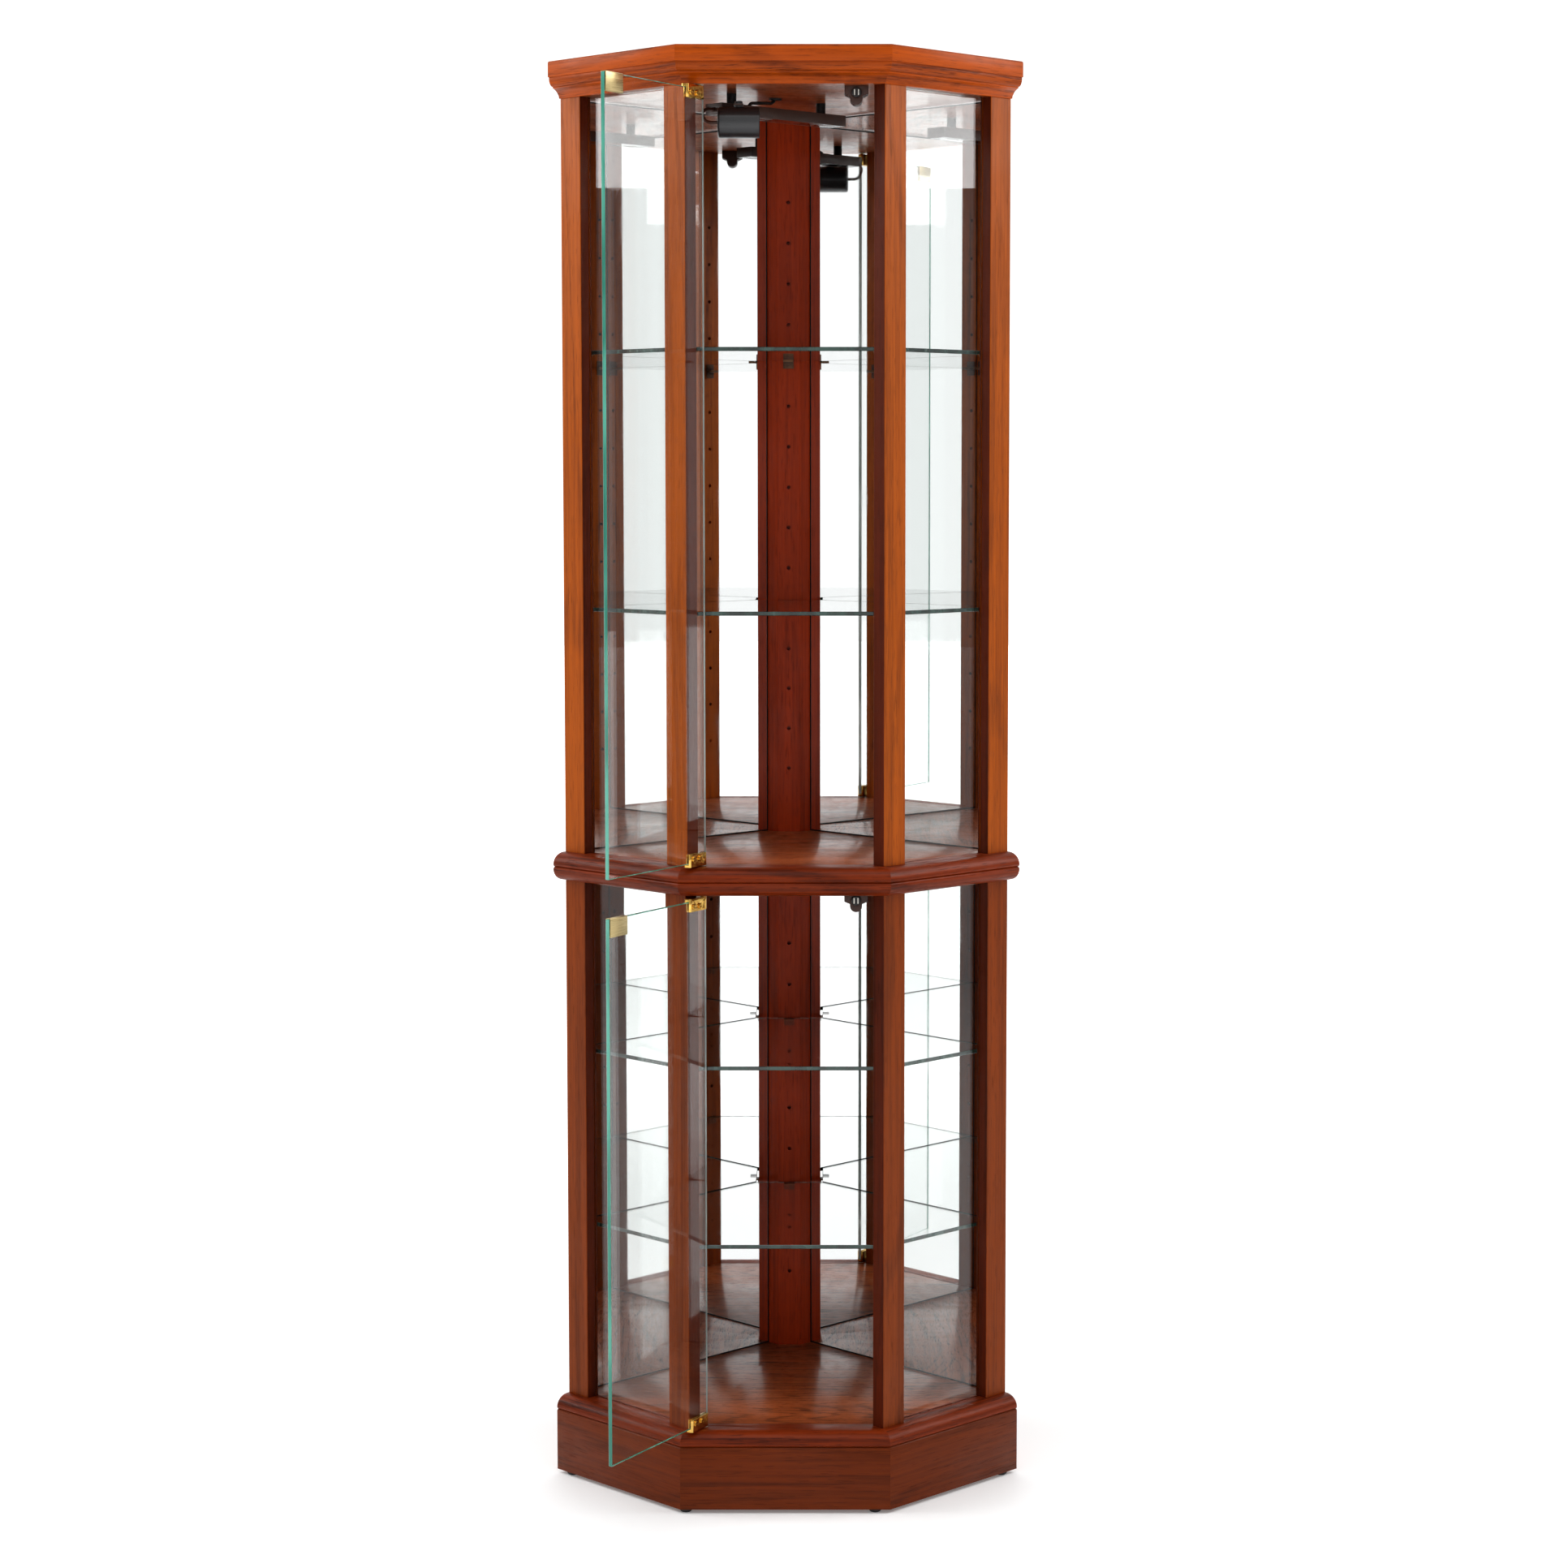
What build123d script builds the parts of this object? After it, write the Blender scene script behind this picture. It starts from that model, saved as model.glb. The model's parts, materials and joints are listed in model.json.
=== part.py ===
"""Tower display case: a corner curio cabinet in two stacked modules.

Plan view: a square with one corner cut off.  The two walls meet at the back at 90 degrees,
each side facet stands at 90 degrees to its wall, and the door fills the cut corner in front.
Units are millimetres, +Z is up, and the floor is Z = 0.  Everything is laid out with the
front of the base on Y = 0, and shifted by LAYOUT_SHIFT when it is written, so that the
origin is the centre of the footprint, open doors included.
"""
import os
from math import radians, sin, sqrt, tan

from build123d import *

# ---- driving dimensions -----------------------------------------------------------------
WALL_LENGTH = 421.0          # each back wall, from the back corner to the outer corner
FACET_LENGTH = 236.0         # each side facet, at right angles to its wall
OVERHANG = 20.0              # how far base, mouldings and crown stand out from the posts

GLIDE_HEIGHT = 5.0
BASE_HEIGHT = 79.0           # fascia under the lower deck
BOARD = 18.0                 # thickness of decks, tops and base boards
LOWER_BAY = 671.0            # clear height inside the lower module
UPPER_BAY = 952.0            # clear height inside the upper module
CROWN_HEIGHT = 45.0

POST_FACE = 37.5             # width of the post's outer face
POST_DEPTH = 19.0
CORNER_POST_FACE = 30.4      # front face of the post in the back corner
CORNER_POST_DEPTH = 19.0     # how far that post stands in front of the mirrors
POST_EASE = 1.2              # rounding of the posts' long edges

MIRROR = 3.0
BACK_PANEL = 3.0
WALL_SETBACK = 2.2           # back of the panel to the wall plane
REBATE = 7.0                 # how far mirror and panel reach into a post
SIDE_GLASS = 3.0
SIDE_GLASS_SETBACK = 13.5    # post's outer face to the glass
GROOVE_DEPTH = 6.0           # side glass in the posts
SHELF_GLASS = 5.0
DOOR_GLASS = 5.0

DOOR_SETBACK = 11.0          # front plane of the posts to the middle of the door glass
PIVOT_X = -102.0
DOOR_LEFT = -107.0           # hinge edge of the door glass
DOOR_RIGHT = 108.0           # free edge of the door glass
DOOR_GAP_BOTTOM = 5.0
DOOR_GAP_TOP = 6.0
DOOR_OPEN = 120.0            # degrees, as the doors stand at rest
DOOR_LIMIT = 135.0           # degrees, fully open

SHELF_RISES_LOWER = (222.0, 448.0)    # shelf undersides above the lower deck
SHELF_RISES_UPPER = (308.0, 632.0)    # shelf undersides above the upper deck
LOWER_HOLE_PITCH = 56.5
UPPER_HOLE_PITCH = 54.0
HOLE_MARGIN = 70.0           # no shelf holes nearer than this to a deck or a ceiling
PIN_DIAMETER = 5.0
PIN_DEPTH = 9.0

# ---- clearances -------------------------------------------------------------------------
GLASS_CLEARANCE = 0.3        # on the thickness of glass in a groove or rebate
EDGE_CLEARANCE = 1.0         # at the ends of glass and panels
SHELF_CLEARANCE = 1.5        # round the edge of a shelf
RUNNING_FIT = 0.05           # radial, pivots and plungers

# ---- levels -----------------------------------------------------------------------------
BASE_BOTTOM = GLIDE_HEIGHT
LOWER_DECK = BASE_BOTTOM + BASE_HEIGHT            # undersides of the four boards
LOWER_FLOOR = LOWER_DECK + BOARD
LOWER_CEILING = LOWER_FLOOR + LOWER_BAY
UPPER_DECK = LOWER_CEILING + BOARD
UPPER_FLOOR = UPPER_DECK + BOARD
UPPER_CEILING = UPPER_FLOOR + UPPER_BAY
CROWN_TOP = UPPER_CEILING + CROWN_HEIGHT
MODULES = {
    "lower": (LOWER_FLOOR, LOWER_CEILING, SHELF_RISES_LOWER, LOWER_HOLE_PITCH),
    "upper": (UPPER_FLOOR, UPPER_CEILING, SHELF_RISES_UPPER, UPPER_HOLE_PITCH),
}

# ---- plan geometry ----------------------------------------------------------------------
DIAGONAL = 1 / sqrt(2)
SIDE_DISTANCE = (WALL_LENGTH - FACET_LENGTH) / 2   # origin to a side facet's line
WALL_DISTANCE = (WALL_LENGTH + FACET_LENGTH) / 2   # origin to a wall's line
DEPTH = WALL_DISTANCE / DIAGONAL                   # front to the back corner
HANDS = {"left": -1, "right": 1}
OUTWARD = {
    "left": Vector(-DIAGONAL, -DIAGONAL, 0),
    "front": Vector(0, -1, 0),
    "right": Vector(DIAGONAL, -DIAGONAL, 0),
}
INNER_SIDE = OVERHANG + POST_DEPTH                 # inset of the posts' inner faces
MIRROR_FACE = WALL_SETBACK + BACK_PANEL + MIRROR   # inset of the mirrors' front faces


def outline(front, side, wall):
    """Corners of the plan, inset from the outermost lines: front, outer and back."""
    s = SIDE_DISTANCE - side
    w = WALL_DISTANCE - wall
    half_front = front + s / DIAGONAL
    outer = ((s + w) * DIAGONAL, (w - s) * DIAGONAL)
    return {
        "front_left": (-half_front, front),
        "front_right": (half_front, front),
        "outer_right": outer,
        "back": (0, w / DIAGONAL),
        "outer_left": (-outer[0], outer[1]),
    }


def wall_point(along, inset, hand):
    """A point by its distance from the back corner along a wall, and in from the wall."""
    return (hand * (along - inset) * DIAGONAL, DEPTH - (along + inset) * DIAGONAL)


def facet_point(along, inset, hand):
    """A point by its distance from the front post's corner along a side facet."""
    x, y = outline(OVERHANG, OVERHANG, 0)["front_right"]
    deeper = inset - OVERHANG
    return (hand * (x + (along - deeper) * DIAGONAL), y + (along + deeper) * DIAGONAL)


CARCASS_FACET = (Vector(*outline(OVERHANG, OVERHANG, 0)["outer_right"])
                 - Vector(*outline(OVERHANG, OVERHANG, 0)["front_right"])).length
PIVOT_Y = OVERHANG + DOOR_SETBACK
LAYOUT_SHIFT = -(DEPTH + PIVOT_Y - (DOOR_RIGHT - PIVOT_X) * sin(radians(DOOR_OPEN))) / 2


def prism(points, bottom, top):
    face = make_face(Polyline(*points, close=True))
    return extrude(Pos(0, 0, bottom) * face, amount=top - bottom, dir=(0, 0, 1))


def rod(start, direction, radius, length):
    """A round bar from a point, along a direction."""
    return extrude(Plane(start, z_dir=direction) * Circle(radius), amount=length)


def block(x0, x1, y0, y1, z0, z1):
    return prism([(x0, y0), (x1, y0), (x1, y1), (x0, y1)], z0, z1)


# ---- moulded edges ----------------------------------------------------------------------
LIP = 20.0                   # solid edging inside the post line, on the three deck boards
EASE = 3.0                   # small round at the flat side of a deck's edge
DECK_FILLET = 2.0            # flat between the ovolo and the post
CROWN_SEAT = 4.0             # crown moulding inside the post line
GROOVE_CHAMFER = 1.5         # shadow line at the top of the fascia
CROWN_FASCIA = 20.0          # flat band at the top of the crown
CROWN_STEP = 1.8             # how far the band stands out from the ovolo
CROWN_BEAD = 1.5             # small flats between the curves
CROWN_OVOLO = 10.0
CROWN_COVE = 12.0            # how far the cove reaches out
CROWN_FILLET = 2.0
CROWN_HOLLOW = 1.5           # depth of the cove's curve


def side_zone(side):
    """The part of the plan that one length of mitred moulding may fill."""
    outer = outline(-3 * OVERHANG, -3 * OVERHANG, 0)
    inner = outline(4 * OVERHANG, 4 * OVERHANG, 0)
    ends = {
        "left": ("front_left", "outer_left"),
        "front": ("front_left", "front_right"),
        "right": ("front_right", "outer_right"),
    }[side]
    return prism([outer[ends[0]], outer[ends[1]], inner[ends[1]], inner[ends[0]]], 0, CROWN_TOP)


def moulding(side, profile, bottom):
    """A straight moulding: a profile of (out from the post line, up), mitred at its ends."""
    outward = OUTWARD[side]
    foot = SIDE_DISTANCE - OVERHANG if side != "front" else -OVERHANG
    origin = outward * foot + Vector(0, 0, bottom)
    plane = Plane(origin, x_dir=outward, z_dir=outward.cross(Vector(0, 0, 1)))
    return extrude(plane * profile, amount=WALL_LENGTH, both=True) & side_zone(side)


def deck_profile(flipped):
    """Ovolo edging of a deck board, its curve up, or down where it is flipped."""
    knee = EASE * (1 - DIAGONAL)
    edges = Polyline((-LIP, BOARD), (-LIP, 0), (OVERHANG - EASE, 0))
    edges += ThreePointArc((OVERHANG - EASE, 0), (OVERHANG - knee, knee), (OVERHANG, EASE))
    edges += EllipticalCenterArc((DECK_FILLET, EASE), OVERHANG - DECK_FILLET, BOARD - EASE, 0,
                                 arc_size=90)
    edges += Line((DECK_FILLET, BOARD), (-LIP, BOARD))
    face = make_face(edges)
    return Pos(0, BOARD) * mirror(face, about=Plane.XZ) if flipped else face


def crown_profile():
    """Fillet, cove, ovolo, step and a flat fascia, from the bottom up."""
    fascia = CROWN_HEIGHT - CROWN_FASCIA           # bottom of the flat fascia
    ovolo_top = fascia - CROWN_BEAD
    ovolo_out = OVERHANG - CROWN_STEP
    ovolo_bottom = ovolo_top - CROWN_OVOLO
    cove_top = ovolo_bottom - CROWN_BEAD
    knee = EASE * (1 - DIAGONAL)
    edges = Polyline((-CROWN_SEAT, CROWN_HEIGHT), (-CROWN_SEAT, 0), (CROWN_FILLET, 0),
                     (CROWN_FILLET, CROWN_FILLET))
    edges += SagittaArc((CROWN_FILLET, CROWN_FILLET), (CROWN_COVE, cove_top), CROWN_HOLLOW)
    edges += Line((CROWN_COVE, cove_top), (CROWN_COVE, ovolo_bottom))
    edges += EllipticalCenterArc((CROWN_COVE, ovolo_top), ovolo_out - CROWN_COVE, CROWN_OVOLO, 270,
                                 arc_size=90)
    edges += Polyline((ovolo_out, ovolo_top), (ovolo_out, fascia), (OVERHANG, fascia),
                      (OVERHANG, CROWN_HEIGHT - EASE))
    edges += ThreePointArc((OVERHANG, CROWN_HEIGHT - EASE), (OVERHANG - knee, CROWN_HEIGHT - knee),
                           (OVERHANG - EASE, CROWN_HEIGHT))
    edges += Line((OVERHANG - EASE, CROWN_HEIGHT), (-CROWN_SEAT, CROWN_HEIGHT))
    return make_face(edges)


def fascia_profile():
    inner = OVERHANG - BOARD
    return make_face(Polyline(
        (inner, 0), (OVERHANG, 0), (OVERHANG, BASE_HEIGHT - GROOVE_CHAMFER),
        (OVERHANG - GROOVE_CHAMFER, BASE_HEIGHT), (inner, BASE_HEIGHT), close=True))


# ---- posts ------------------------------------------------------------------------------
POST_MIDDLES = {"front": POST_FACE / 2, "outer": CARCASS_FACET - POST_FACE / 2}
DOWEL_RADIUS = 4.0
DOWEL_LENGTH = 24.0
DOWEL_IN_BOARD = 12.0
DOWEL_INSET = 9.0            # from the post's outer face, clear of crown and glass groove


def hole_rows(floor, ceiling, rises, pitch):
    """Heights of the shelf holes: a ladder that passes through the lowest shelf."""
    first = floor + rises[0]
    while first - pitch > floor + HOLE_MARGIN:
        first -= pitch
    rows = []
    while first < ceiling - HOLE_MARGIN:
        rows.append(first)
        first += pitch
    return rows


def shelf_bottoms(module):
    floor, _, rises, _ = MODULES[module]
    return [floor + rise for rise in rises]


CLIP_PLATE = 1.6
PIN_BELOW_SHELF = 6.0        # shelf underside to the pin's centre line


def pin_line(place, hand):
    """Where the shelf pins enter a post, and the direction from the post into the case."""
    if place == "corner":
        return Vector(0, CORNER_FACE_Y, 0), Vector(0, -1, 0)
    x, y = facet_point(POST_MIDDLES[place], INNER_SIDE, hand)
    return Vector(x, y, 0), Vector(-hand * DIAGONAL, DIAGONAL, 0)


def pin_holes(place, hand, module):
    start, inward = pin_line(place, hand)
    return [rod(start + Vector(0, 0, z - PIN_BELOW_SHELF), inward * -1, PIN_DIAMETER / 2, PIN_DEPTH)
            for z in hole_rows(*MODULES[module])]


def dowel_spots():
    """Plan position of the dowel in each post."""
    spots = {"corner": (0, (CORNER_FACE_Y + DEPTH) / 2)}
    for hand_name, hand in HANDS.items():
        for place, middle in POST_MIDDLES.items():
            spots[f"{place}_{hand_name}"] = facet_point(middle, OVERHANG + DOWEL_INSET, hand)
    return spots


def dowel(spot, joint_height, direction):
    """A dowel between a board and the end of a post; direction +1 when the post is above."""
    bottom = joint_height - (DOWEL_IN_BOARD if direction > 0 else DOWEL_LENGTH - DOWEL_IN_BOARD)
    return Pos(spot[0], spot[1], bottom) * Cylinder(
        DOWEL_RADIUS, DOWEL_LENGTH, align=(Align.CENTER, Align.CENTER, Align.MIN))


def eased(solid, corners):
    """Rounds the upright edges that stand at the given plan corners."""
    edges = [e for e in solid.edges().filter_by(Axis.Z)
             if any((Vector(e.center().X, e.center().Y) - Vector(*c)).length < 0.01 for c in corners)]
    return fillet(edges, POST_EASE)


def straight_post(place, hand, module):
    floor, ceiling, _, _ = MODULES[module]
    start = 0 if place == "front" else CARCASS_FACET - POST_FACE
    end = start + POST_FACE
    corners = [facet_point(t, s, hand) for t, s in
               ((start, OVERHANG), (end, OVERHANG), (end, INNER_SIDE), (start, INNER_SIDE))]
    post = prism(corners, floor, ceiling)
    post = eased(post, corners[:2] if place == "outer" else [corners[0], corners[1], corners[3]])
    # groove for the side glass, in the long edge that faces the other post
    glass_end = end if place == "front" else start
    reach = -GROOVE_DEPTH if place == "front" else GROOVE_DEPTH
    s0 = OVERHANG + SIDE_GLASS_SETBACK - GLASS_CLEARANCE / 2
    s1 = s0 + SIDE_GLASS + GLASS_CLEARANCE
    groove = [facet_point(t, s, hand) for t, s in
              ((glass_end + reach, s0), (glass_end - reach, s0),
               (glass_end - reach, s1), (glass_end + reach, s1))]
    post -= prism(groove, floor, ceiling)
    if place == "outer":
        wall_u = WALL_LENGTH - INNER_SIDE
        rebate = [wall_point(u, w, hand) for u, w in
                  ((wall_u - REBATE, -1), (wall_u + REBATE, -1),
                   (wall_u + REBATE, MIRROR_FACE), (wall_u - REBATE, MIRROR_FACE))]
        post -= prism(rebate, floor, ceiling)
    return post - pin_holes(place, hand, module) - post_sockets(f"{place}_{name_of(hand)}", module)


def name_of(hand):
    return "left" if hand < 0 else "right"


def post_sockets(spot_name, module):
    floor, ceiling, _, _ = MODULES[module]
    spot = dowel_spots()[spot_name]
    return [dowel(spot, floor, 1), dowel(spot, ceiling, -1)]


# corner post: its sides stand square to the mirrors, and its front face is across the corner
CORNER_SIDE = CORNER_POST_FACE * DIAGONAL + MIRROR_FACE + CORNER_POST_DEPTH
CORNER_FACE_Y = DEPTH - (CORNER_SIDE + MIRROR_FACE + CORNER_POST_DEPTH) * DIAGONAL


def corner_post(module):
    floor, ceiling, _, _ = MODULES[module]
    right = [wall_point(u, w, 1) for u, w in
             ((CORNER_SIDE, MIRROR_FACE + CORNER_POST_DEPTH), (CORNER_SIDE, MIRROR_FACE),
              (CORNER_SIDE - REBATE, MIRROR_FACE), (CORNER_SIDE - REBATE, 0))]
    left = [(-x, y) for x, y in reversed(right)]
    post = prism([*right, (0, DEPTH), *left], floor, ceiling)
    post = eased(post, [right[0], left[-1], (0, DEPTH)])
    return post - pin_holes("corner", 1, module) - post_sockets("corner", module)


# ---- boards -----------------------------------------------------------------------------
BUSH_RADIUS = 4.0
BUSH_DEPTH = 10.0
GROMMET_SPOT = (-13.0, 180.0)
GROMMET_RADIUS = 6.0
MODULE_DOWEL_SPOTS = ((-60.0, 70.0), (60.0, 70.0), (-150.0, 200.0), (150.0, 200.0), (0.0, 350.0))


def module_dowels():
    """Dowels that register the upper module on the lower one."""
    return [dowel(spot, UPPER_DECK, 1) for spot in MODULE_DOWEL_SPOTS]


def joinery_dowels():
    spots = dowel_spots()
    posts = [dowel(spot, level, way) for spot in spots.values()
             for level, way in ((LOWER_FLOOR, 1), (LOWER_CEILING, -1),
                                (UPPER_FLOOR, 1), (UPPER_CEILING, -1))]
    return posts + module_dowels()


def bush_socket(level, direction):
    """Hole for a pivot bush, into the board above (+1) or below (-1) the level."""
    return rod((PIVOT_X, PIVOT_Y, level), (0, 0, direction), BUSH_RADIUS, BUSH_DEPTH)


def screw_holes(module):
    ceiling = MODULES[module][1]
    return [rod((CATCH_X + side * CATCH_SCREW_X, CATCH_FRONT + CATCH_DEPTH / 2, ceiling),
                (0, 0, 1), CATCH_SCREW_RADIUS, CATCH_SCREW_BITE) for side in (-1, 1)]


def deck(bottom, flipped, cuts):
    """A veneered board with three lengths of moulded solid edging."""
    inset = OVERHANG + LIP
    core = prism(outline(inset, inset, 0).values(), bottom, bottom + BOARD)
    strips = [moulding(side, deck_profile(flipped), bottom) for side in OUTWARD]
    return [piece - cuts for piece in [core, *strips]]


def upper_top():
    inset = OVERHANG + CROWN_SEAT
    board = prism(outline(inset, inset, 0).values(), UPPER_CEILING, UPPER_CEILING + BOARD)
    cuts = joinery_dowels() + [bush_socket(UPPER_CEILING, 1)] + screw_holes("upper")
    cuts += [rod((*GROMMET_SPOT, UPPER_CEILING), (0, 0, 1), GROMMET_RADIUS, BOARD)]
    cuts += [rod((*spot, UPPER_CEILING), (0, 0, 1), RAIL_SCREW_RADIUS, RAIL_SCREW_BITE)
             for spot in rail_screw_spots()]
    return board - cuts


# ---- base -------------------------------------------------------------------------------
GLIDE_RADIUS = 8.0
GLIDE_ROUND = 4.0
GLIDE_PIN_RADIUS = 1.5
GLIDE_PIN_LENGTH = 15.0
GLIDE_INSET = 9.5            # from a board's outer face, so that the pin enters the board
GLIDE_FRONT_X = (-124.0, 112.0)
GLIDE_FROM_OUTER = 20.0      # from the outer corner, along a side facet
GLIDE_FROM_BACK = 34.0       # from the back corner, along the right wall
CORNER_BLOCK = 40.0          # leg of a glue block in the base


def base_rail(hand):
    """Board along a wall, behind the deck, mitred in the back corner."""
    end = WALL_LENGTH - BOARD
    points = [wall_point(u, w, hand) for u, w in ((0, 0), (end, 0), (end, BOARD), (BOARD, BOARD))]
    return prism(points, BASE_BOTTOM, BASE_BOTTOM + BASE_HEIGHT) - glide_pins()


def corner_blocks():
    """Glue blocks in the five corners of the base."""
    inside = [Vector(*corner) for corner in outline(BOARD, BOARD, BOARD).values()]
    blocks = []
    for before, corner, after in zip(inside[-1:] + inside[:-1], inside, inside[1:] + inside[:1]):
        legs = [corner + (end - corner).normalized() * CORNER_BLOCK for end in (before, after)]
        blocks.append(prism([(p.X, p.Y) for p in (corner, *legs)],
                            BASE_BOTTOM, BASE_BOTTOM + BASE_HEIGHT))
    return blocks


def glide_spots():
    """Plan positions of the glides, under the lower edges of the base boards."""
    corner_x, corner_y = outline(0, 0, 0)["front_right"]
    along = FACET_LENGTH - GLIDE_FROM_OUTER
    outer = (corner_x + (along - GLIDE_INSET) * DIAGONAL, corner_y + (along + GLIDE_INSET) * DIAGONAL)
    front = [(x, GLIDE_INSET) for x in GLIDE_FRONT_X]
    return [*front, outer, (-outer[0], outer[1]), wall_point(GLIDE_FROM_BACK, GLIDE_INSET, 1)]


def glide_pin(spot):
    return rod((*spot, BASE_BOTTOM), (0, 0, 1), GLIDE_PIN_RADIUS, GLIDE_PIN_LENGTH)


def glide_pins():
    return [glide_pin(spot) for spot in glide_spots()]


def glide(spot):
    """A nail-on glide with a rounded foot."""
    foot = rod((*spot, 0), (0, 0, 1), GLIDE_RADIUS, GLIDE_HEIGHT)
    foot = fillet(foot.edges().group_by(Axis.Z)[0], GLIDE_ROUND)
    return foot + glide_pin(spot)


# ---- glass, mirrors and backs -----------------------------------------------------------
def side_pane(hand, module):
    floor, ceiling, _, _ = MODULES[module]
    t0 = POST_FACE - GROOVE_DEPTH + EDGE_CLEARANCE
    t1 = CARCASS_FACET - POST_FACE + GROOVE_DEPTH - EDGE_CLEARANCE
    s0 = OVERHANG + SIDE_GLASS_SETBACK
    corners = [facet_point(t, s, hand) for t, s in
               ((t0, s0), (t1, s0), (t1, s0 + SIDE_GLASS), (t0, s0 + SIDE_GLASS))]
    return prism(corners, floor, ceiling - EDGE_CLEARANCE)


def wall_sheet(hand, module, front, back):
    """A sheet against a wall, between the corner post's rebate and the outer post's."""
    floor, ceiling, _, _ = MODULES[module]
    u0 = CORNER_SIDE - REBATE + EDGE_CLEARANCE
    u1 = WALL_LENGTH - INNER_SIDE + REBATE - EDGE_CLEARANCE
    corners = [wall_point(u, w, hand) for u, w in ((u0, back), (u1, back), (u1, front), (u0, front))]
    return prism(corners, floor, ceiling - EDGE_CLEARANCE)


SHELF_FRONT = 46.0           # inset of the shelves' front edge


def shelf(bottom):
    side = INNER_SIDE + SHELF_CLEARANCE
    wall = MIRROR_FACE + SHELF_CLEARANCE
    points = outline(SHELF_FRONT, side, wall)
    back_y = CORNER_FACE_Y - SHELF_CLEARANCE - CLIP_PLATE
    back_x = (WALL_DISTANCE - wall) / DIAGONAL - back_y
    corners = [points["front_left"], points["front_right"], points["outer_right"],
               (back_x, back_y), (-back_x, back_y), points["outer_left"]]
    pane = prism(corners, bottom, bottom + SHELF_GLASS)
    return chamfer(pane.faces().filter_by(Axis.Z).edges(), GLASS_CHAMFER)


GLASS_CHAMFER = 0.6
CLIP_WIDTH = 14.0
CLIP_REACH = 12.0
CLIP_DROP = 10.0


def shelf_clip(place, hand, bottom):
    """A right-angle clip: a pin in the post, a back plate, and a seat under the shelf."""
    start, inward = pin_line(place, hand)
    level = start + Vector(0, 0, bottom)
    frame = Plane(level, x_dir=Vector(0, 0, 1).cross(inward), z_dir=inward)

    def slab(drop, reach):
        return extrude(frame * Pos(0, -drop / 2) * Rectangle(CLIP_WIDTH, drop), amount=reach)

    seat = slab(CLIP_PLATE, CLIP_REACH)
    plate = slab(CLIP_DROP, CLIP_PLATE)
    pin = rod(start + Vector(0, 0, bottom - PIN_BELOW_SHELF), inward * -1,
              PIN_DIAMETER / 2, PIN_DEPTH - EDGE_CLEARANCE)
    return seat + plate + pin


def shelf_supports():
    clips = []
    for module in MODULES:
        for bottom in shelf_bottoms(module):
            clips.append(shelf_clip("corner", 1, bottom))
            clips += [shelf_clip(place, hand, bottom)
                      for place in POST_MIDDLES for hand in HANDS.values()]
    return clips


# ---- doors ------------------------------------------------------------------------------
CLAMP_LENGTH = 40.0
CLAMP_WIDTH = 10.0
CLAMP_HEIGHT = 16.0
CLAMP_BASE = 4.0             # solid part of the clamp, past the glass edge
CLAMP_ROUND = 3.0
PIVOT_RADIUS = 2.0
PIVOT_BITE = 9.0             # how far the pivot reaches into its board
SCREW_SPOTS = (14.0, 28.0)   # clamp screws, from the pivot
SCREW_RADIUS = 2.0
SCREW_HEAD_RADIUS = 3.4
SCREW_HEAD = 1.8
SCREW_SLOT = 0.8
BUSH_FLANGE_RADIUS = 5.0
BUSH_FLANGE = 0.6
STRIKE_WIDTH = 36.0
STRIKE_HEIGHT = 23.0
STRIKE_PLATE = 1.0
STRIKE_ROUND = 0.9
STRIKE_FROM_EDGE = 2.0

door_y = (PIVOT_Y - DOOR_GLASS / 2, PIVOT_Y + DOOR_GLASS / 2)


def swung(shape):
    """Turns a piece of a closed door to the angle at which the doors stand at rest."""
    pivot = Axis((PIVOT_X, PIVOT_Y, 0), (0, 0, 1))
    return shape.rotate(pivot, -DOOR_OPEN)


def glass_levels(module):
    floor, ceiling, _, _ = MODULES[module]
    return floor + DOOR_GAP_BOTTOM, ceiling - DOOR_GAP_TOP


def door_pane(module):
    pane = block(DOOR_LEFT, DOOR_RIGHT, *door_y, *glass_levels(module))
    return chamfer(pane.edges(), GLASS_CHAMFER)


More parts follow.
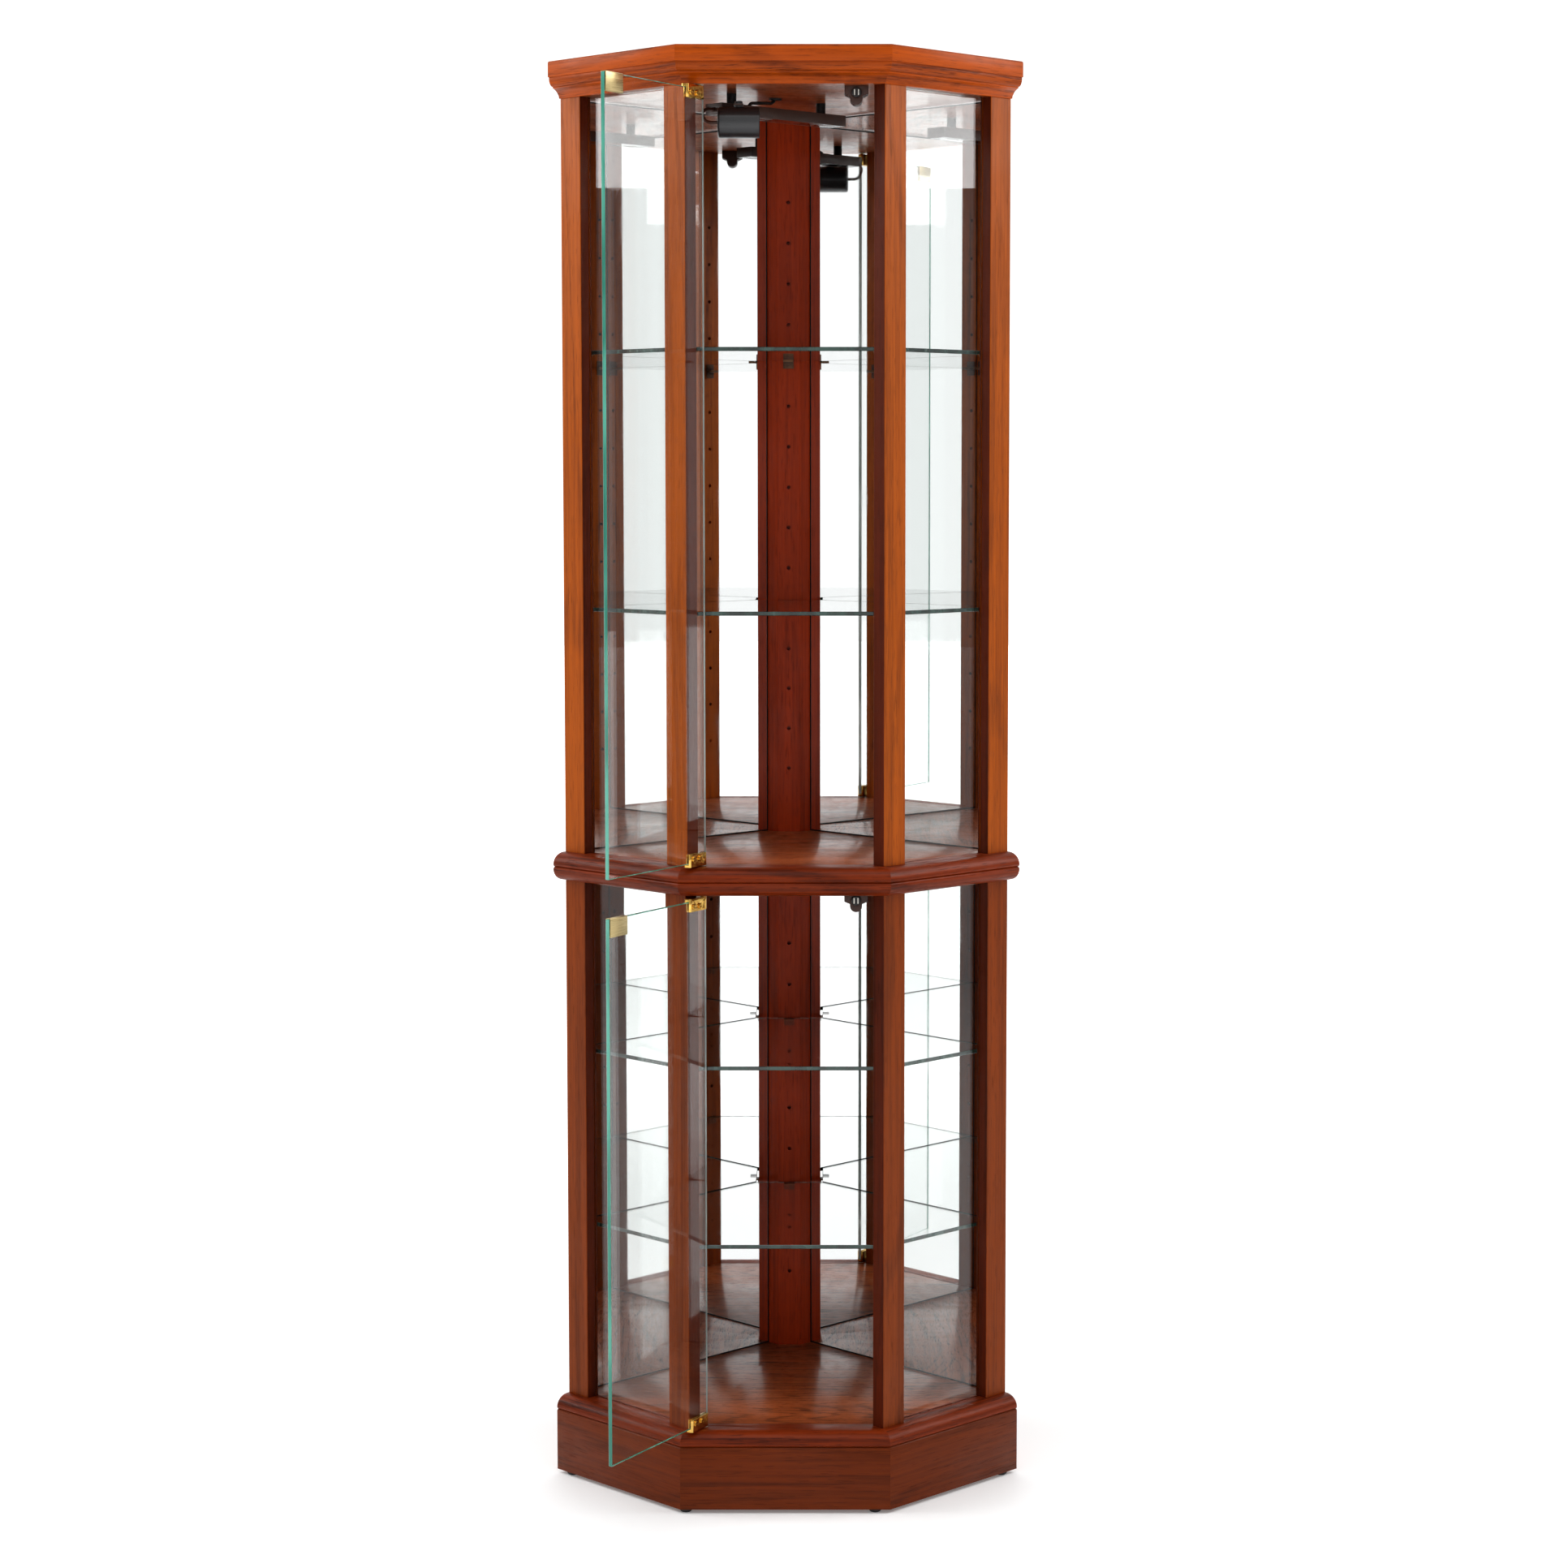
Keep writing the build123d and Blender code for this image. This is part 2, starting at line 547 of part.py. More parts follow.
def hinge(module, end):
    """A brass clamp over the glass edge, its pivot pin and its two screws, door closed."""
    bottom, top = glass_levels(module)
    up = 1 if end == "bottom" else -1
    edge = bottom if up > 0 else top

    def z_range(low, high):
        return sorted((edge + up * low, edge + up * high))

    half = CLAMP_WIDTH / 2
    body = block(PIVOT_X, PIVOT_X - half + CLAMP_LENGTH, PIVOT_Y - half, PIVOT_Y + half,
                 *z_range(-CLAMP_BASE, CLAMP_HEIGHT - CLAMP_BASE))
    tail = body.edges().filter_by(Axis.Z).group_by(Axis.X)[-1]
    body = fillet(tail, CLAMP_ROUND)
    low = z_range(-CLAMP_BASE, CLAMP_HEIGHT - CLAMP_BASE)[0]
    body += rod((PIVOT_X, PIVOT_Y, low), (0, 0, 1), half, CLAMP_HEIGHT)
    body -= block(DOOR_LEFT - half, PIVOT_X + CLAMP_LENGTH, *door_y, *z_range(0, CLAMP_HEIGHT))
    floor, ceiling, _, _ = MODULES[module]
    surface = floor if up > 0 else ceiling
    pin_start = surface - up * PIVOT_BITE
    pin = rod((PIVOT_X, PIVOT_Y, pin_start), (0, 0, up), PIVOT_RADIUS, abs(edge - pin_start))
    screws = []
    screw_z = edge + up * (CLAMP_HEIGHT - CLAMP_BASE) / 2
    for spot in SCREW_SPOTS:
        shank = rod((PIVOT_X + spot, door_y[1], screw_z), (0, 1, 0), SCREW_RADIUS,
                    half - DOOR_GLASS / 2)
        head = rod((PIVOT_X + spot, PIVOT_Y + half, screw_z), (0, 1, 0), SCREW_HEAD_RADIUS, SCREW_HEAD)
        head = fillet(head.edges().group_by(Axis.Y)[-1], SCREW_HEAD / 2)
        slot = block(PIVOT_X + spot - SCREW_HEAD_RADIUS, PIVOT_X + spot + SCREW_HEAD_RADIUS,
                     PIVOT_Y + half + SCREW_HEAD / 2, PIVOT_Y + half + SCREW_HEAD,
                     screw_z - SCREW_SLOT / 2, screw_z + SCREW_SLOT / 2)
        screws.append(shank + head - slot)
    return [body - pin - screws, pin, *screws]


def pivot_bushes():
    bushes = []
    for floor, ceiling, _, _ in MODULES.values():
        for surface, way in ((floor, 1), (ceiling, -1)):
            sleeve = rod((PIVOT_X, PIVOT_Y, surface), (0, 0, -way), BUSH_RADIUS, BUSH_DEPTH)
            sleeve += rod((PIVOT_X, PIVOT_Y, surface), (0, 0, way), BUSH_FLANGE_RADIUS, BUSH_FLANGE)
            bore = rod((PIVOT_X, PIVOT_Y, surface + way), (0, 0, -way),
                       PIVOT_RADIUS + RUNNING_FIT, 1 + PIVOT_BITE)
            bushes.append(sleeve - bore)
    return bushes


def strike(module):
    """A saddle over the door's top edge, which the magnet pulls on."""
    _, top = glass_levels(module)
    right = DOOR_RIGHT - STRIKE_FROM_EDGE
    saddle = block(right - STRIKE_WIDTH, right, door_y[0] - STRIKE_PLATE, door_y[1] + STRIKE_PLATE,
                   top + STRIKE_PLATE - STRIKE_HEIGHT, top + STRIKE_PLATE)
    saddle = fillet(saddle.edges().filter_by(Axis.X).group_by(Axis.Z)[-1], STRIKE_ROUND)
    return saddle - block(right - STRIKE_WIDTH, right, *door_y, top - STRIKE_HEIGHT, top)


# ---- touch catches ----------------------------------------------------------------------
CATCH_X = 88.0
CATCH_FRONT = 38.0
CATCH_DEPTH = 26.0
CATCH_WIDTH = 29.0
CATCH_SHOULDER = 10.0
CATCH_SLOPE = 3.0            # how far the shoulders fall toward the nose
CATCH_BACK = 2.0             # wall behind the plunger's stem
CATCH_NOSE_WIDTH = 15.0
CATCH_HEIGHT = 23.0
PLUNGER_DROP = 8.5           # plunger's centre line below the ceiling
PLUNGER_FACE = 35.0
PLUNGER_HEAD = 6.0           # length of the head
PLUNGER_HEAD_RADIUS = 6.0
PLUNGER_ROUND = 0.8
STEM_RADIUS = 3.0
STEM_LENGTH = 13.0
PLUNGER_TRAVEL = 2.5
BORE_SLACK = 2.5             # counterbore past the head at full travel
CATCH_SCREW_X = 11.0
CATCH_SCREW_RADIUS = 1.5
CATCH_SCREW_BITE = 12.0
CATCH_SCREW_HEAD_RADIUS = 2.8
CATCH_SCREW_HEAD = 2.0
SPRING_RADIUS = 4.5
SPRING_WIRE = 0.4
SPRING_TURNS = 3

COUNTERBORE_END = PLUNGER_FACE + PLUNGER_HEAD + PLUNGER_TRAVEL + BORE_SLACK


def catch_housing(module):
    """The catch's body, with a bore for its plunger, and its two screws."""
    ceiling = MODULES[module][1]
    half, nose = CATCH_WIDTH / 2, CATCH_NOSE_WIDTH / 2
    slope = CATCH_SHOULDER + CATCH_SLOPE
    outline_edges = Polyline((-nose, -CATCH_HEIGHT + nose), (-nose, -slope), (-half, -CATCH_SHOULDER),
                             (-half, 0), (half, 0), (half, -CATCH_SHOULDER), (nose, -slope),
                             (nose, -CATCH_HEIGHT + nose))
    outline_edges += ThreePointArc((nose, -CATCH_HEIGHT + nose), (0, -CATCH_HEIGHT),
                                   (-nose, -CATCH_HEIGHT + nose))
    plane = Plane((CATCH_X, CATCH_FRONT, ceiling), x_dir=(1, 0, 0), z_dir=(0, -1, 0))
    body = extrude(plane * make_face(outline_edges), amount=-CATCH_DEPTH)
    axis_start = (CATCH_X, PLUNGER_FACE, ceiling - PLUNGER_DROP)
    body -= rod(axis_start, (0, 1, 0), PLUNGER_HEAD_RADIUS + RUNNING_FIT,
                COUNTERBORE_END - PLUNGER_FACE)
    body -= rod(axis_start, (0, 1, 0), STEM_RADIUS + RUNNING_FIT,
                CATCH_FRONT + CATCH_DEPTH - CATCH_BACK - PLUNGER_FACE)
    screws = []
    for side in (-1, 1):
        foot = Vector(CATCH_X + side * CATCH_SCREW_X, CATCH_FRONT + CATCH_DEPTH / 2, 0)
        seat = foot + Vector(0, 0, ceiling - CATCH_SHOULDER)
        head = rod(seat, (0, 0, 1), CATCH_SCREW_HEAD_RADIUS, CATCH_SCREW_HEAD)
        shank = rod(seat, (0, 0, 1), CATCH_SCREW_RADIUS, CATCH_SHOULDER + CATCH_SCREW_BITE)
        screws.append(head + shank)
        clear = rod(foot + Vector(0, 0, ceiling - CATCH_HEIGHT), (0, 0, 1),
                    CATCH_SCREW_HEAD_RADIUS, CATCH_HEIGHT - CATCH_SHOULDER + CATCH_SCREW_HEAD)
        body = body - clear - shank
    return [body, *screws]


def catch_plunger(module):
    """Magnet head and stem, out as far as it goes."""
    level = MODULES[module][1] - PLUNGER_DROP
    head = rod((CATCH_X, PLUNGER_FACE, level), (0, 1, 0), PLUNGER_HEAD_RADIUS, PLUNGER_HEAD)
    head = fillet(head.edges().group_by(Axis.Y)[0], PLUNGER_ROUND)
    stem = rod((CATCH_X, PLUNGER_FACE + PLUNGER_HEAD, level), (0, 1, 0), STEM_RADIUS, STEM_LENGTH)
    return head + stem


def catch_spring(module):
    """The spring behind the plunger's head, round its stem."""
    level = MODULES[module][1] - PLUNGER_DROP
    start = PLUNGER_FACE + PLUNGER_HEAD + SPRING_WIRE
    length = COUNTERBORE_END - start - SPRING_WIRE
    path = Helix(pitch=length / SPRING_TURNS, height=length, radius=SPRING_RADIUS)
    wire = sweep(Plane(path @ 0, z_dir=path % 0) * Circle(SPRING_WIRE), path=path, is_frenet=True)
    return Plane((CATCH_X, start, level), x_dir=(1, 0, 0), z_dir=(0, 1, 0)) * wire


# ---- lighting ---------------------------------------------------------------------------
RAIL_START = (-77.0, 95.0)   # front corner of the rail, at its left end
RAIL_LENGTH = 216.0
RAIL_WIDTH = 30.0
RAIL_HEIGHT = 13.5
RAIL_DROP = 14.0             # ceiling to the rail
RAIL_SHEET = 1.2
LENS = 3.0
RAIL_SCREW_RADIUS = 2.0
RAIL_SCREW_BITE = 12.0
RAIL_SCREW_HEAD_RADIUS = 4.0
RAIL_SCREW_HEAD = 2.0
SPACER_RADIUS = 6.0
RAIL_SCREW_FROM_END = 30.0
LED_BOARD = 1.6
LED_BOARD_WIDTH = 12.0

CAN_CENTRE = (-56.0, 68.0)
CAN_RADIUS = 19.0
CAN_LENGTH = 51.0
CAN_WALL = 1.5
CAN_BELOW_STRAP = 1.5
BULB_RECESS = 3.0            # lamp's front, in from the can's mouth
BULB_CLEARANCE = 1.0         # lamp's rim to the can
HOLDER = (12.0, 8.0)         # length and radius of the lamp holder
NECK = (4.0, 4.5)            # length and radius of the lamp's neck
BULB_RIM = 3.0               # length of the lamp's straight rim
BULB_SWELL = (12.0, 5.5)     # a point on the reflector's curve, back and in from the rim
STRAP = 2.0
STRAP_WIDTH = 12.0
STRAP_BELOW_RAIL_TOP = 5.0
STUD_RADIUS = 2.5
STUD_HEAD_RADIUS = 5.0
NUT_HEIGHT = 3.0
NUT_ROUND = 1.0
STRAP_PLAY = 0.3             # between the strap and the stud's collar or nut
LEAD_RADIUS = 2.0
CABLE_RADIUS = 2.0

RAIL_TOP = UPPER_CEILING - RAIL_DROP
RAIL_BOTTOM = RAIL_TOP - RAIL_HEIGHT
STRAP_TOP = RAIL_TOP - STRAP_BELOW_RAIL_TOP
CAN_LEVEL = STRAP_TOP - STRAP - CAN_BELOW_STRAP - CAN_RADIUS


def rail_point(along, across):
    """A plan point by its distances along the rail and back from its front face."""
    return (RAIL_START[0] + (along - across) * DIAGONAL, RAIL_START[1] + (along + across) * DIAGONAL)


def rail_box(along0, along1, across0, across1, bottom, top):
    return prism([rail_point(along0, across0), rail_point(along1, across0),
                  rail_point(along1, across1), rail_point(along0, across1)], bottom, top)


def rail_screw_spots():
    return [rail_point(along, RAIL_WIDTH / 2)
            for along in (RAIL_SCREW_FROM_END, RAIL_LENGTH - RAIL_SCREW_FROM_END)]


CABLE_ROUTE = [
    (-47.0, 136.0, RAIL_TOP - 2 * RAIL_SHEET), (-43.0, 141.0, RAIL_TOP + 4.0),
    (-27.5, 161.0, RAIL_TOP + 6.5), (GROMMET_SPOT[0], GROMMET_SPOT[1] + 1.5, RAIL_TOP + 8.0),
    (*GROMMET_SPOT, RAIL_TOP + 42.0), (GROMMET_SPOT[0], GROMMET_SPOT[1] + 32.0, RAIL_TOP + 42.0)]
LEAD_ROUTE = [
    (CAN_CENTRE[0] - CAN_LENGTH / 2, CAN_CENTRE[1], CAN_LEVEL), (-96.0, CAN_CENTRE[1], CAN_LEVEL),
    (-102.0, 81.0, CAN_LEVEL + 12.0), (-98.0, 94.0, CAN_LEVEL + 19.0),
    (*rail_point(0, RAIL_WIDTH / 2), RAIL_BOTTOM + RAIL_HEIGHT / 2)]


def light_rail():
    """Pressed-steel housing, the light board under its top, and the lens in its mouth."""
    shell = rail_box(0, RAIL_LENGTH, 0, RAIL_WIDTH, RAIL_BOTTOM, RAIL_TOP)
    shell -= rail_box(RAIL_SHEET, RAIL_LENGTH - RAIL_SHEET, RAIL_SHEET, RAIL_WIDTH - RAIL_SHEET,
                      RAIL_BOTTOM, RAIL_TOP - RAIL_SHEET)
    shell -= [rod((*spot, RAIL_BOTTOM), (0, 0, 1), RAIL_SCREW_RADIUS, RAIL_HEIGHT)
              for spot in rail_screw_spots()]
    shell -= tube(CABLE_ROUTE, CABLE_RADIUS)
    middle = RAIL_WIDTH / 2
    entry = Vector(*rail_point(-1, middle), RAIL_BOTTOM + RAIL_HEIGHT / 2)
    shell -= rod(entry, (1, 1, 0), LEAD_RADIUS, 1 + 2 * RAIL_SHEET)
    board_top = RAIL_TOP - RAIL_SHEET
    gap = RAIL_SCREW_FROM_END + SPACER_RADIUS
    board = rail_box(gap, RAIL_LENGTH - gap, middle - LED_BOARD_WIDTH / 2,
                     middle + LED_BOARD_WIDTH / 2, board_top - LED_BOARD, board_top)
    board -= tube(CABLE_ROUTE, CABLE_RADIUS)
    lens = rail_box(RAIL_SHEET, RAIL_LENGTH - RAIL_SHEET, RAIL_SHEET, RAIL_WIDTH - RAIL_SHEET,
                    RAIL_BOTTOM, RAIL_BOTTOM + LENS)
    return [shell, board, lens]


def light_mountings():
    """Spacers between the ceiling and the rail, and the screws through them."""
    pieces = []
    for spot in rail_screw_spots():
        screw = rod((*spot, RAIL_TOP - RAIL_SHEET), (0, 0, 1), RAIL_SCREW_RADIUS,
                    RAIL_SHEET + RAIL_DROP + RAIL_SCREW_BITE)
        screw += rod((*spot, RAIL_TOP - RAIL_SHEET), (0, 0, -1),
                     RAIL_SCREW_HEAD_RADIUS, RAIL_SCREW_HEAD)
        spacer = rod((*spot, RAIL_TOP), (0, 0, 1), SPACER_RADIUS, RAIL_DROP)
        spacer -= rod((*spot, RAIL_TOP), (0, 0, 1), RAIL_SCREW_RADIUS, RAIL_DROP)
        pieces += [screw, spacer]
    return pieces


def lamp_bracket():
    """A strap over the lamp, folded against the rail's front face."""
    x, y = CAN_CENTRE
    half = STRAP_WIDTH / 2
    face_y = RAIL_START[1] - RAIL_START[0]          # the rail's front face is y = x + face_y
    strap = prism([(x - half, y - half), (x + half, y - half), (x + half, x + half + face_y),
                   (x - half, x - half + face_y)], STRAP_TOP - STRAP, STRAP_TOP)
    lap = STRAP / DIAGONAL
    fold = prism([(x - half, x - half + face_y - lap), (x + half, x + half + face_y - lap),
                  (x + half, x + half + face_y), (x - half, x - half + face_y)],
                 RAIL_BOTTOM, STRAP_TOP)
    return strap + fold - rod((x, y, STRAP_TOP - STRAP), (0, 0, 1), STUD_RADIUS + RUNNING_FIT, STRAP)


def can_cylinder(start, length, radius):
    return rod((CAN_CENTRE[0] + start, CAN_CENTRE[1], CAN_LEVEL), (1, 0, 0), radius, length)


def lamp_can():
    """The spot's body, open at its right end, and the stud that it turns on."""
    half = CAN_LENGTH / 2
    body = can_cylinder(-half, CAN_LENGTH, CAN_RADIUS)
    body = fillet(body.edges().group_by(Axis.X)[0], 2 * CAN_WALL)
    body -= can_cylinder(-half + 2 * CAN_WALL, CAN_LENGTH, CAN_RADIUS - CAN_WALL)
    x, y = CAN_CENTRE
    stud = rod((x, y, CAN_LEVEL + CAN_RADIUS - CAN_WALL), (0, 0, 1), STUD_RADIUS,
               CAN_WALL + CAN_BELOW_STRAP + STRAP + STRAP_PLAY)
    collar = rod((x, y, CAN_LEVEL + CAN_RADIUS - CAN_WALL), (0, 0, 1), STUD_HEAD_RADIUS,
                 CAN_WALL + CAN_BELOW_STRAP - STRAP_PLAY)
    nut = rod((x, y, STRAP_TOP + STRAP_PLAY), (0, 0, 1), STUD_HEAD_RADIUS, NUT_HEIGHT)
    nut = fillet(nut.edges().group_by(Axis.Z)[-1], NUT_ROUND)
    return body + stud + collar + nut


def lamp_bulb():
    """A small reflector lamp in a holder at the back of the can."""
    x = CAN_CENTRE[0] - CAN_LENGTH / 2 + 2 * CAN_WALL
    mouth = CAN_RADIUS - CAN_WALL - BULB_CLEARANCE
    front = CAN_LENGTH - 2 * CAN_WALL - BULB_RECESS
    neck_end = (HOLDER[0] + NECK[0], NECK[1])
    rim = (front - BULB_RIM, mouth)
    profile = Polyline((0, 0), (0, HOLDER[1]), HOLDER, (HOLDER[0], NECK[1]), neck_end)
    profile += ThreePointArc(neck_end, (front - BULB_SWELL[0], mouth - BULB_SWELL[1]), rim)
    profile += Polyline(rim, (front, mouth), (front, 0), (0, 0))
    bulb = revolve(make_face(profile), axis=Axis.X)
    return Pos(x, CAN_CENTRE[1], CAN_LEVEL) * bulb


CORD_BEND = 0.45             # share of the shorter run that a bend takes up


def bend_radii(route):
    """The arcs at a route's inner points, each as large as its two runs allow."""
    points = [Vector(*p) for p in route]
    radii = []
    for before, here, after in zip(points, points[1:], points[2:]):
        turn = radians((here - before).get_angle(after - here))
        shorter = min((here - before).length, (after - here).length)
        radii.append(CORD_BEND * shorter / tan(turn / 2))
    return radii


def tube(route, radius):
    """A cord's solid: straight runs joined by arcs."""
    path = FilletPolyline(*[Vector(*p) for p in route], radius=bend_radii(route))
    return sweep(Plane(path @ 0, z_dir=path % 0) * Circle(radius), path=path)


JUNCTION_LENGTH = 26.0
JUNCTION_WIDTH = 34.0
JUNCTION_HEIGHT = 24.0
JUNCTION_LID = 2.5
JUNCTION_ROUND = 3.0
JUNCTION_SCREW_RADIUS = 1.5
JUNCTION_SCREW_INSET = 5.0
GROMMET_LIP = 2.0
GROMMET_CLEARANCE = 0.4


def junction_box():
    """Box on top of the ceiling board, where the supply is wired: body, lid and lid screws."""
    x, y, _ = CABLE_ROUTE[-1]
    bottom = UPPER_CEILING + BOARD
    lid_bottom = bottom + JUNCTION_HEIGHT - JUNCTION_LID
    half = JUNCTION_WIDTH / 2
    body = block(x - half, x + half, y, y + JUNCTION_LENGTH, bottom, lid_bottom)
    body = fillet(body.edges().filter_by(Axis.Z), JUNCTION_ROUND)
    lid = block(x - half, x + half, y, y + JUNCTION_LENGTH, lid_bottom, lid_bottom + JUNCTION_LID)
    lid = fillet(lid.edges().filter_by(Axis.Z), JUNCTION_ROUND)
    screws = []
    for side in (-1, 1):
        spot = (x + side * (half - JUNCTION_SCREW_INSET), y + JUNCTION_LENGTH / 2)
        screws.append(rod((*spot, lid_bottom - JUNCTION_SCREW_INSET), (0, 0, 1),
                          JUNCTION_SCREW_RADIUS, JUNCTION_SCREW_INSET + JUNCTION_LID))
    return [body - screws, lid - screws, *screws]


def cable_grommet():
    """Lipped bush that lines the cable's hole in the ceiling board."""
    grommet = rod((*GROMMET_SPOT, UPPER_CEILING), (0, 0, 1), GROMMET_RADIUS, BOARD)
    for level, way in ((UPPER_CEILING, -1), (UPPER_CEILING + BOARD, 1)):
        grommet += rod((*GROMMET_SPOT, level), (0, 0, way), GROMMET_RADIUS + GROMMET_LIP, GROMMET_LIP)
    return grommet - tube(CABLE_ROUTE, CABLE_RADIUS + GROMMET_CLEARANCE)


# ---- assembly ---------------------------------------------------------------------------
def pieces():
    """Every node of the cabinet, as a solid or a list of solids."""
    nodes = {}
    for side in OUTWARD:
        nodes[f"base_{side}_fascia"] = moulding(side, fascia_profile(), BASE_BOTTOM) - glide_pins()
        nodes[f"crown_{side}"] = moulding(side, crown_profile(), UPPER_CEILING)
    nodes["base_back_rails"] = [base_rail(hand) for hand in HANDS.values()]
    nodes["base_corner_blocks"] = corner_blocks()
    nodes["floor_glides"] = [glide(spot) for spot in glide_spots()]
    dowels = joinery_dowels()
    nodes["lower_deck"] = deck(LOWER_DECK, False, dowels + [bush_socket(LOWER_FLOOR, -1)])
    nodes["lower_top"] = deck(LOWER_CEILING, True, dowels + [bush_socket(LOWER_CEILING, 1)]
                              + screw_holes("lower"))
    nodes["upper_deck"] = deck(UPPER_DECK, False, dowels + [bush_socket(UPPER_FLOOR, -1)])
    nodes["upper_top"] = upper_top()
    nodes["joinery_dowels"] = dowels
    backs = []
    for module in MODULES:
        for hand_name, hand in HANDS.items():
            for place in POST_MIDDLES:
                nodes[f"{module}_{place}_{hand_name}_post"] = straight_post(place, hand, module)
            nodes[f"{module}_side_glass_{hand_name}"] = side_pane(hand, module)
            nodes[f"{module}_mirror_{hand_name}"] = wall_sheet(
                hand, module, MIRROR_FACE, MIRROR_FACE - MIRROR)
            backs.append(wall_sheet(hand, module, WALL_SETBACK + BACK_PANEL, WALL_SETBACK))
        nodes[f"{module}_corner_post"] = corner_post(module)
        for number, bottom in enumerate(shelf_bottoms(module), start=1):
            nodes[f"{module}_shelf_{number}"] = shelf(bottom)
        nodes[f"{module}_door_glass"] = swung(door_pane(module))
        for end in ("bottom", "top"):
            nodes[f"{module}_door_{end}_hinge"] = [swung(p) for p in hinge(module, end)]
        nodes[f"{module}_door_strike"] = swung(strike(module))
        nodes[f"{module}_catch_housing"] = catch_housing(module)
        nodes[f"{module}_catch_plunger"] = catch_plunger(module)
    nodes["back_panels"] = backs
    nodes["shelf_supports"] = shelf_supports()
    nodes["pivot_bushes"] = pivot_bushes()
    nodes["catch_springs"] = [catch_spring(module) for module in MODULES]
    nodes["light_rail"] = light_rail()
    nodes["light_mountings"] = light_mountings()
    nodes["lamp_bracket"] = lamp_bracket()
    nodes["lamp_can"] = lamp_can()
    nodes["lamp_bulb"] = lamp_bulb()
    nodes["lamp_lead"] = tube(LEAD_ROUTE, LEAD_RADIUS)
    nodes["light_cable"] = tube(CABLE_ROUTE, CABLE_RADIUS)
    nodes["junction_box"] = [*junction_box(), cable_grommet()]
    return nodes


def solids_of(shape):
    """The separate solids in a shape or a list of shapes."""
    shapes = shape if isinstance(shape, list) else [shape]
    return [solid for item in shapes for solid in item.solids()]


def main():
    os.makedirs("parts", exist_ok=True)
    for name, shape in pieces().items():
        found = [Pos(0, LAYOUT_SHIFT, 0) * solid for solid in solids_of(shape)]
        node = found[0] if len(found) == 1 else Compound(children=found)
        node.label = name
        export_step(node, f"parts/{name}.step")
        print(f"{name}: {len(found)} solid(s)")
    for cord, route in (("lamp_lead", LEAD_ROUTE), ("light_cable", CABLE_ROUTE)):
        print(f"{cord} bends:", *(round(radius, 1) for radius in bend_radii(route)))


if __name__ == "__main__":
    main()
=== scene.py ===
# %% [markdown]
# # A corner curio cabinet in Blender
#
# The cabinet comes from CAD as a fixed frame: every board, pane and hinge is already in its
# place, in metres. Blender's job is the finish. The steps go from camera and light to the
# materials, and then to the small pieces that want a finer mesh than the CAD solids.

# %% Load the frame
import json
import math

import bmesh
import bpy
from mathutils import Matrix, Vector


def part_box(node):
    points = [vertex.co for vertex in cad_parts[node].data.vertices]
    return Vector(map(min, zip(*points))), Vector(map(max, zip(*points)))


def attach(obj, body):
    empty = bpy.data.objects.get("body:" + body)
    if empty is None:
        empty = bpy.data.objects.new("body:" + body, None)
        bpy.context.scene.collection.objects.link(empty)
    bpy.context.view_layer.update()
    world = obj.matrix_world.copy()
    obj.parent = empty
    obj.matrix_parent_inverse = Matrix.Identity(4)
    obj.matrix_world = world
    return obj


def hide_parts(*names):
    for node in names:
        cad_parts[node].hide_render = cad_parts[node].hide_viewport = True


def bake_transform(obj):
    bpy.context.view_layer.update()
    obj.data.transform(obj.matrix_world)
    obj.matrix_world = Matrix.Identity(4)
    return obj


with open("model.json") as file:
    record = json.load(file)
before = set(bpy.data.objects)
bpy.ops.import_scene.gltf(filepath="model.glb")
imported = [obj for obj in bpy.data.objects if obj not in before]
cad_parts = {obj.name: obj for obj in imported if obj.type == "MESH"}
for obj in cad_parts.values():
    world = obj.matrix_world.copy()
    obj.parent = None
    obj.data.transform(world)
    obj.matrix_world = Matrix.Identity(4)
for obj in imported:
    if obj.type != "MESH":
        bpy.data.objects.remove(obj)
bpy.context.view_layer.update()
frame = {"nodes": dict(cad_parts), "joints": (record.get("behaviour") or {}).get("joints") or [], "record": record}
nodes = frame["nodes"]
scene = bpy.context.scene
body_of_node = {
    node: body
    for body, members in frame["record"]["behaviour"]["bodies"].items()
    for node in members
}
slot_of_node = {part["node"]: part["material_slot"] for part in frame["record"]["subparts"]}

# %% [markdown]
# ## Measuring from the frame
#
# A place that is typed in as a number goes wrong as soon as the design changes. Here each
# one is read from the box of the CAD node that it belongs to.

# %% Reference places
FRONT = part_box("base_front_fascia")[0].y
MODULES = ("lower", "upper")
BASE_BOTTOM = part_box("base_front_fascia")[0].z
CABINET_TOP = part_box("crown_front")[1].z
MILLIMETRE = 0.001
print("front at", round(FRONT, 4), "top at", round(CABINET_TOP, 4))

# %% [markdown]
# ## Camera
#
# Tall furniture looks calm through a long lens from far away, because the uprights stay
# nearly parallel. The camera stands at breast height, nearly four metres off, looks down by
# less than five degrees, and slides its frame a little down and aside, which is Blender's
# shift. A large shift would make the uprights exactly parallel, but it would cut the case
# off as soon as the camera goes round it, so the shift is kept small.

# %% The camera
CAMERA_DISTANCE = 3.934
CAMERA_RIGHT = 0.059
CAMERA_HEIGHT = 1.289
CAMERA_PITCH = 4.695
LENS_LENGTH = 74.2      # in millimetres, as engraved on a lens
SENSOR_WIDTH = 36.0
SHIFT_ASIDE, SHIFT_DOWN = -0.031, -0.03

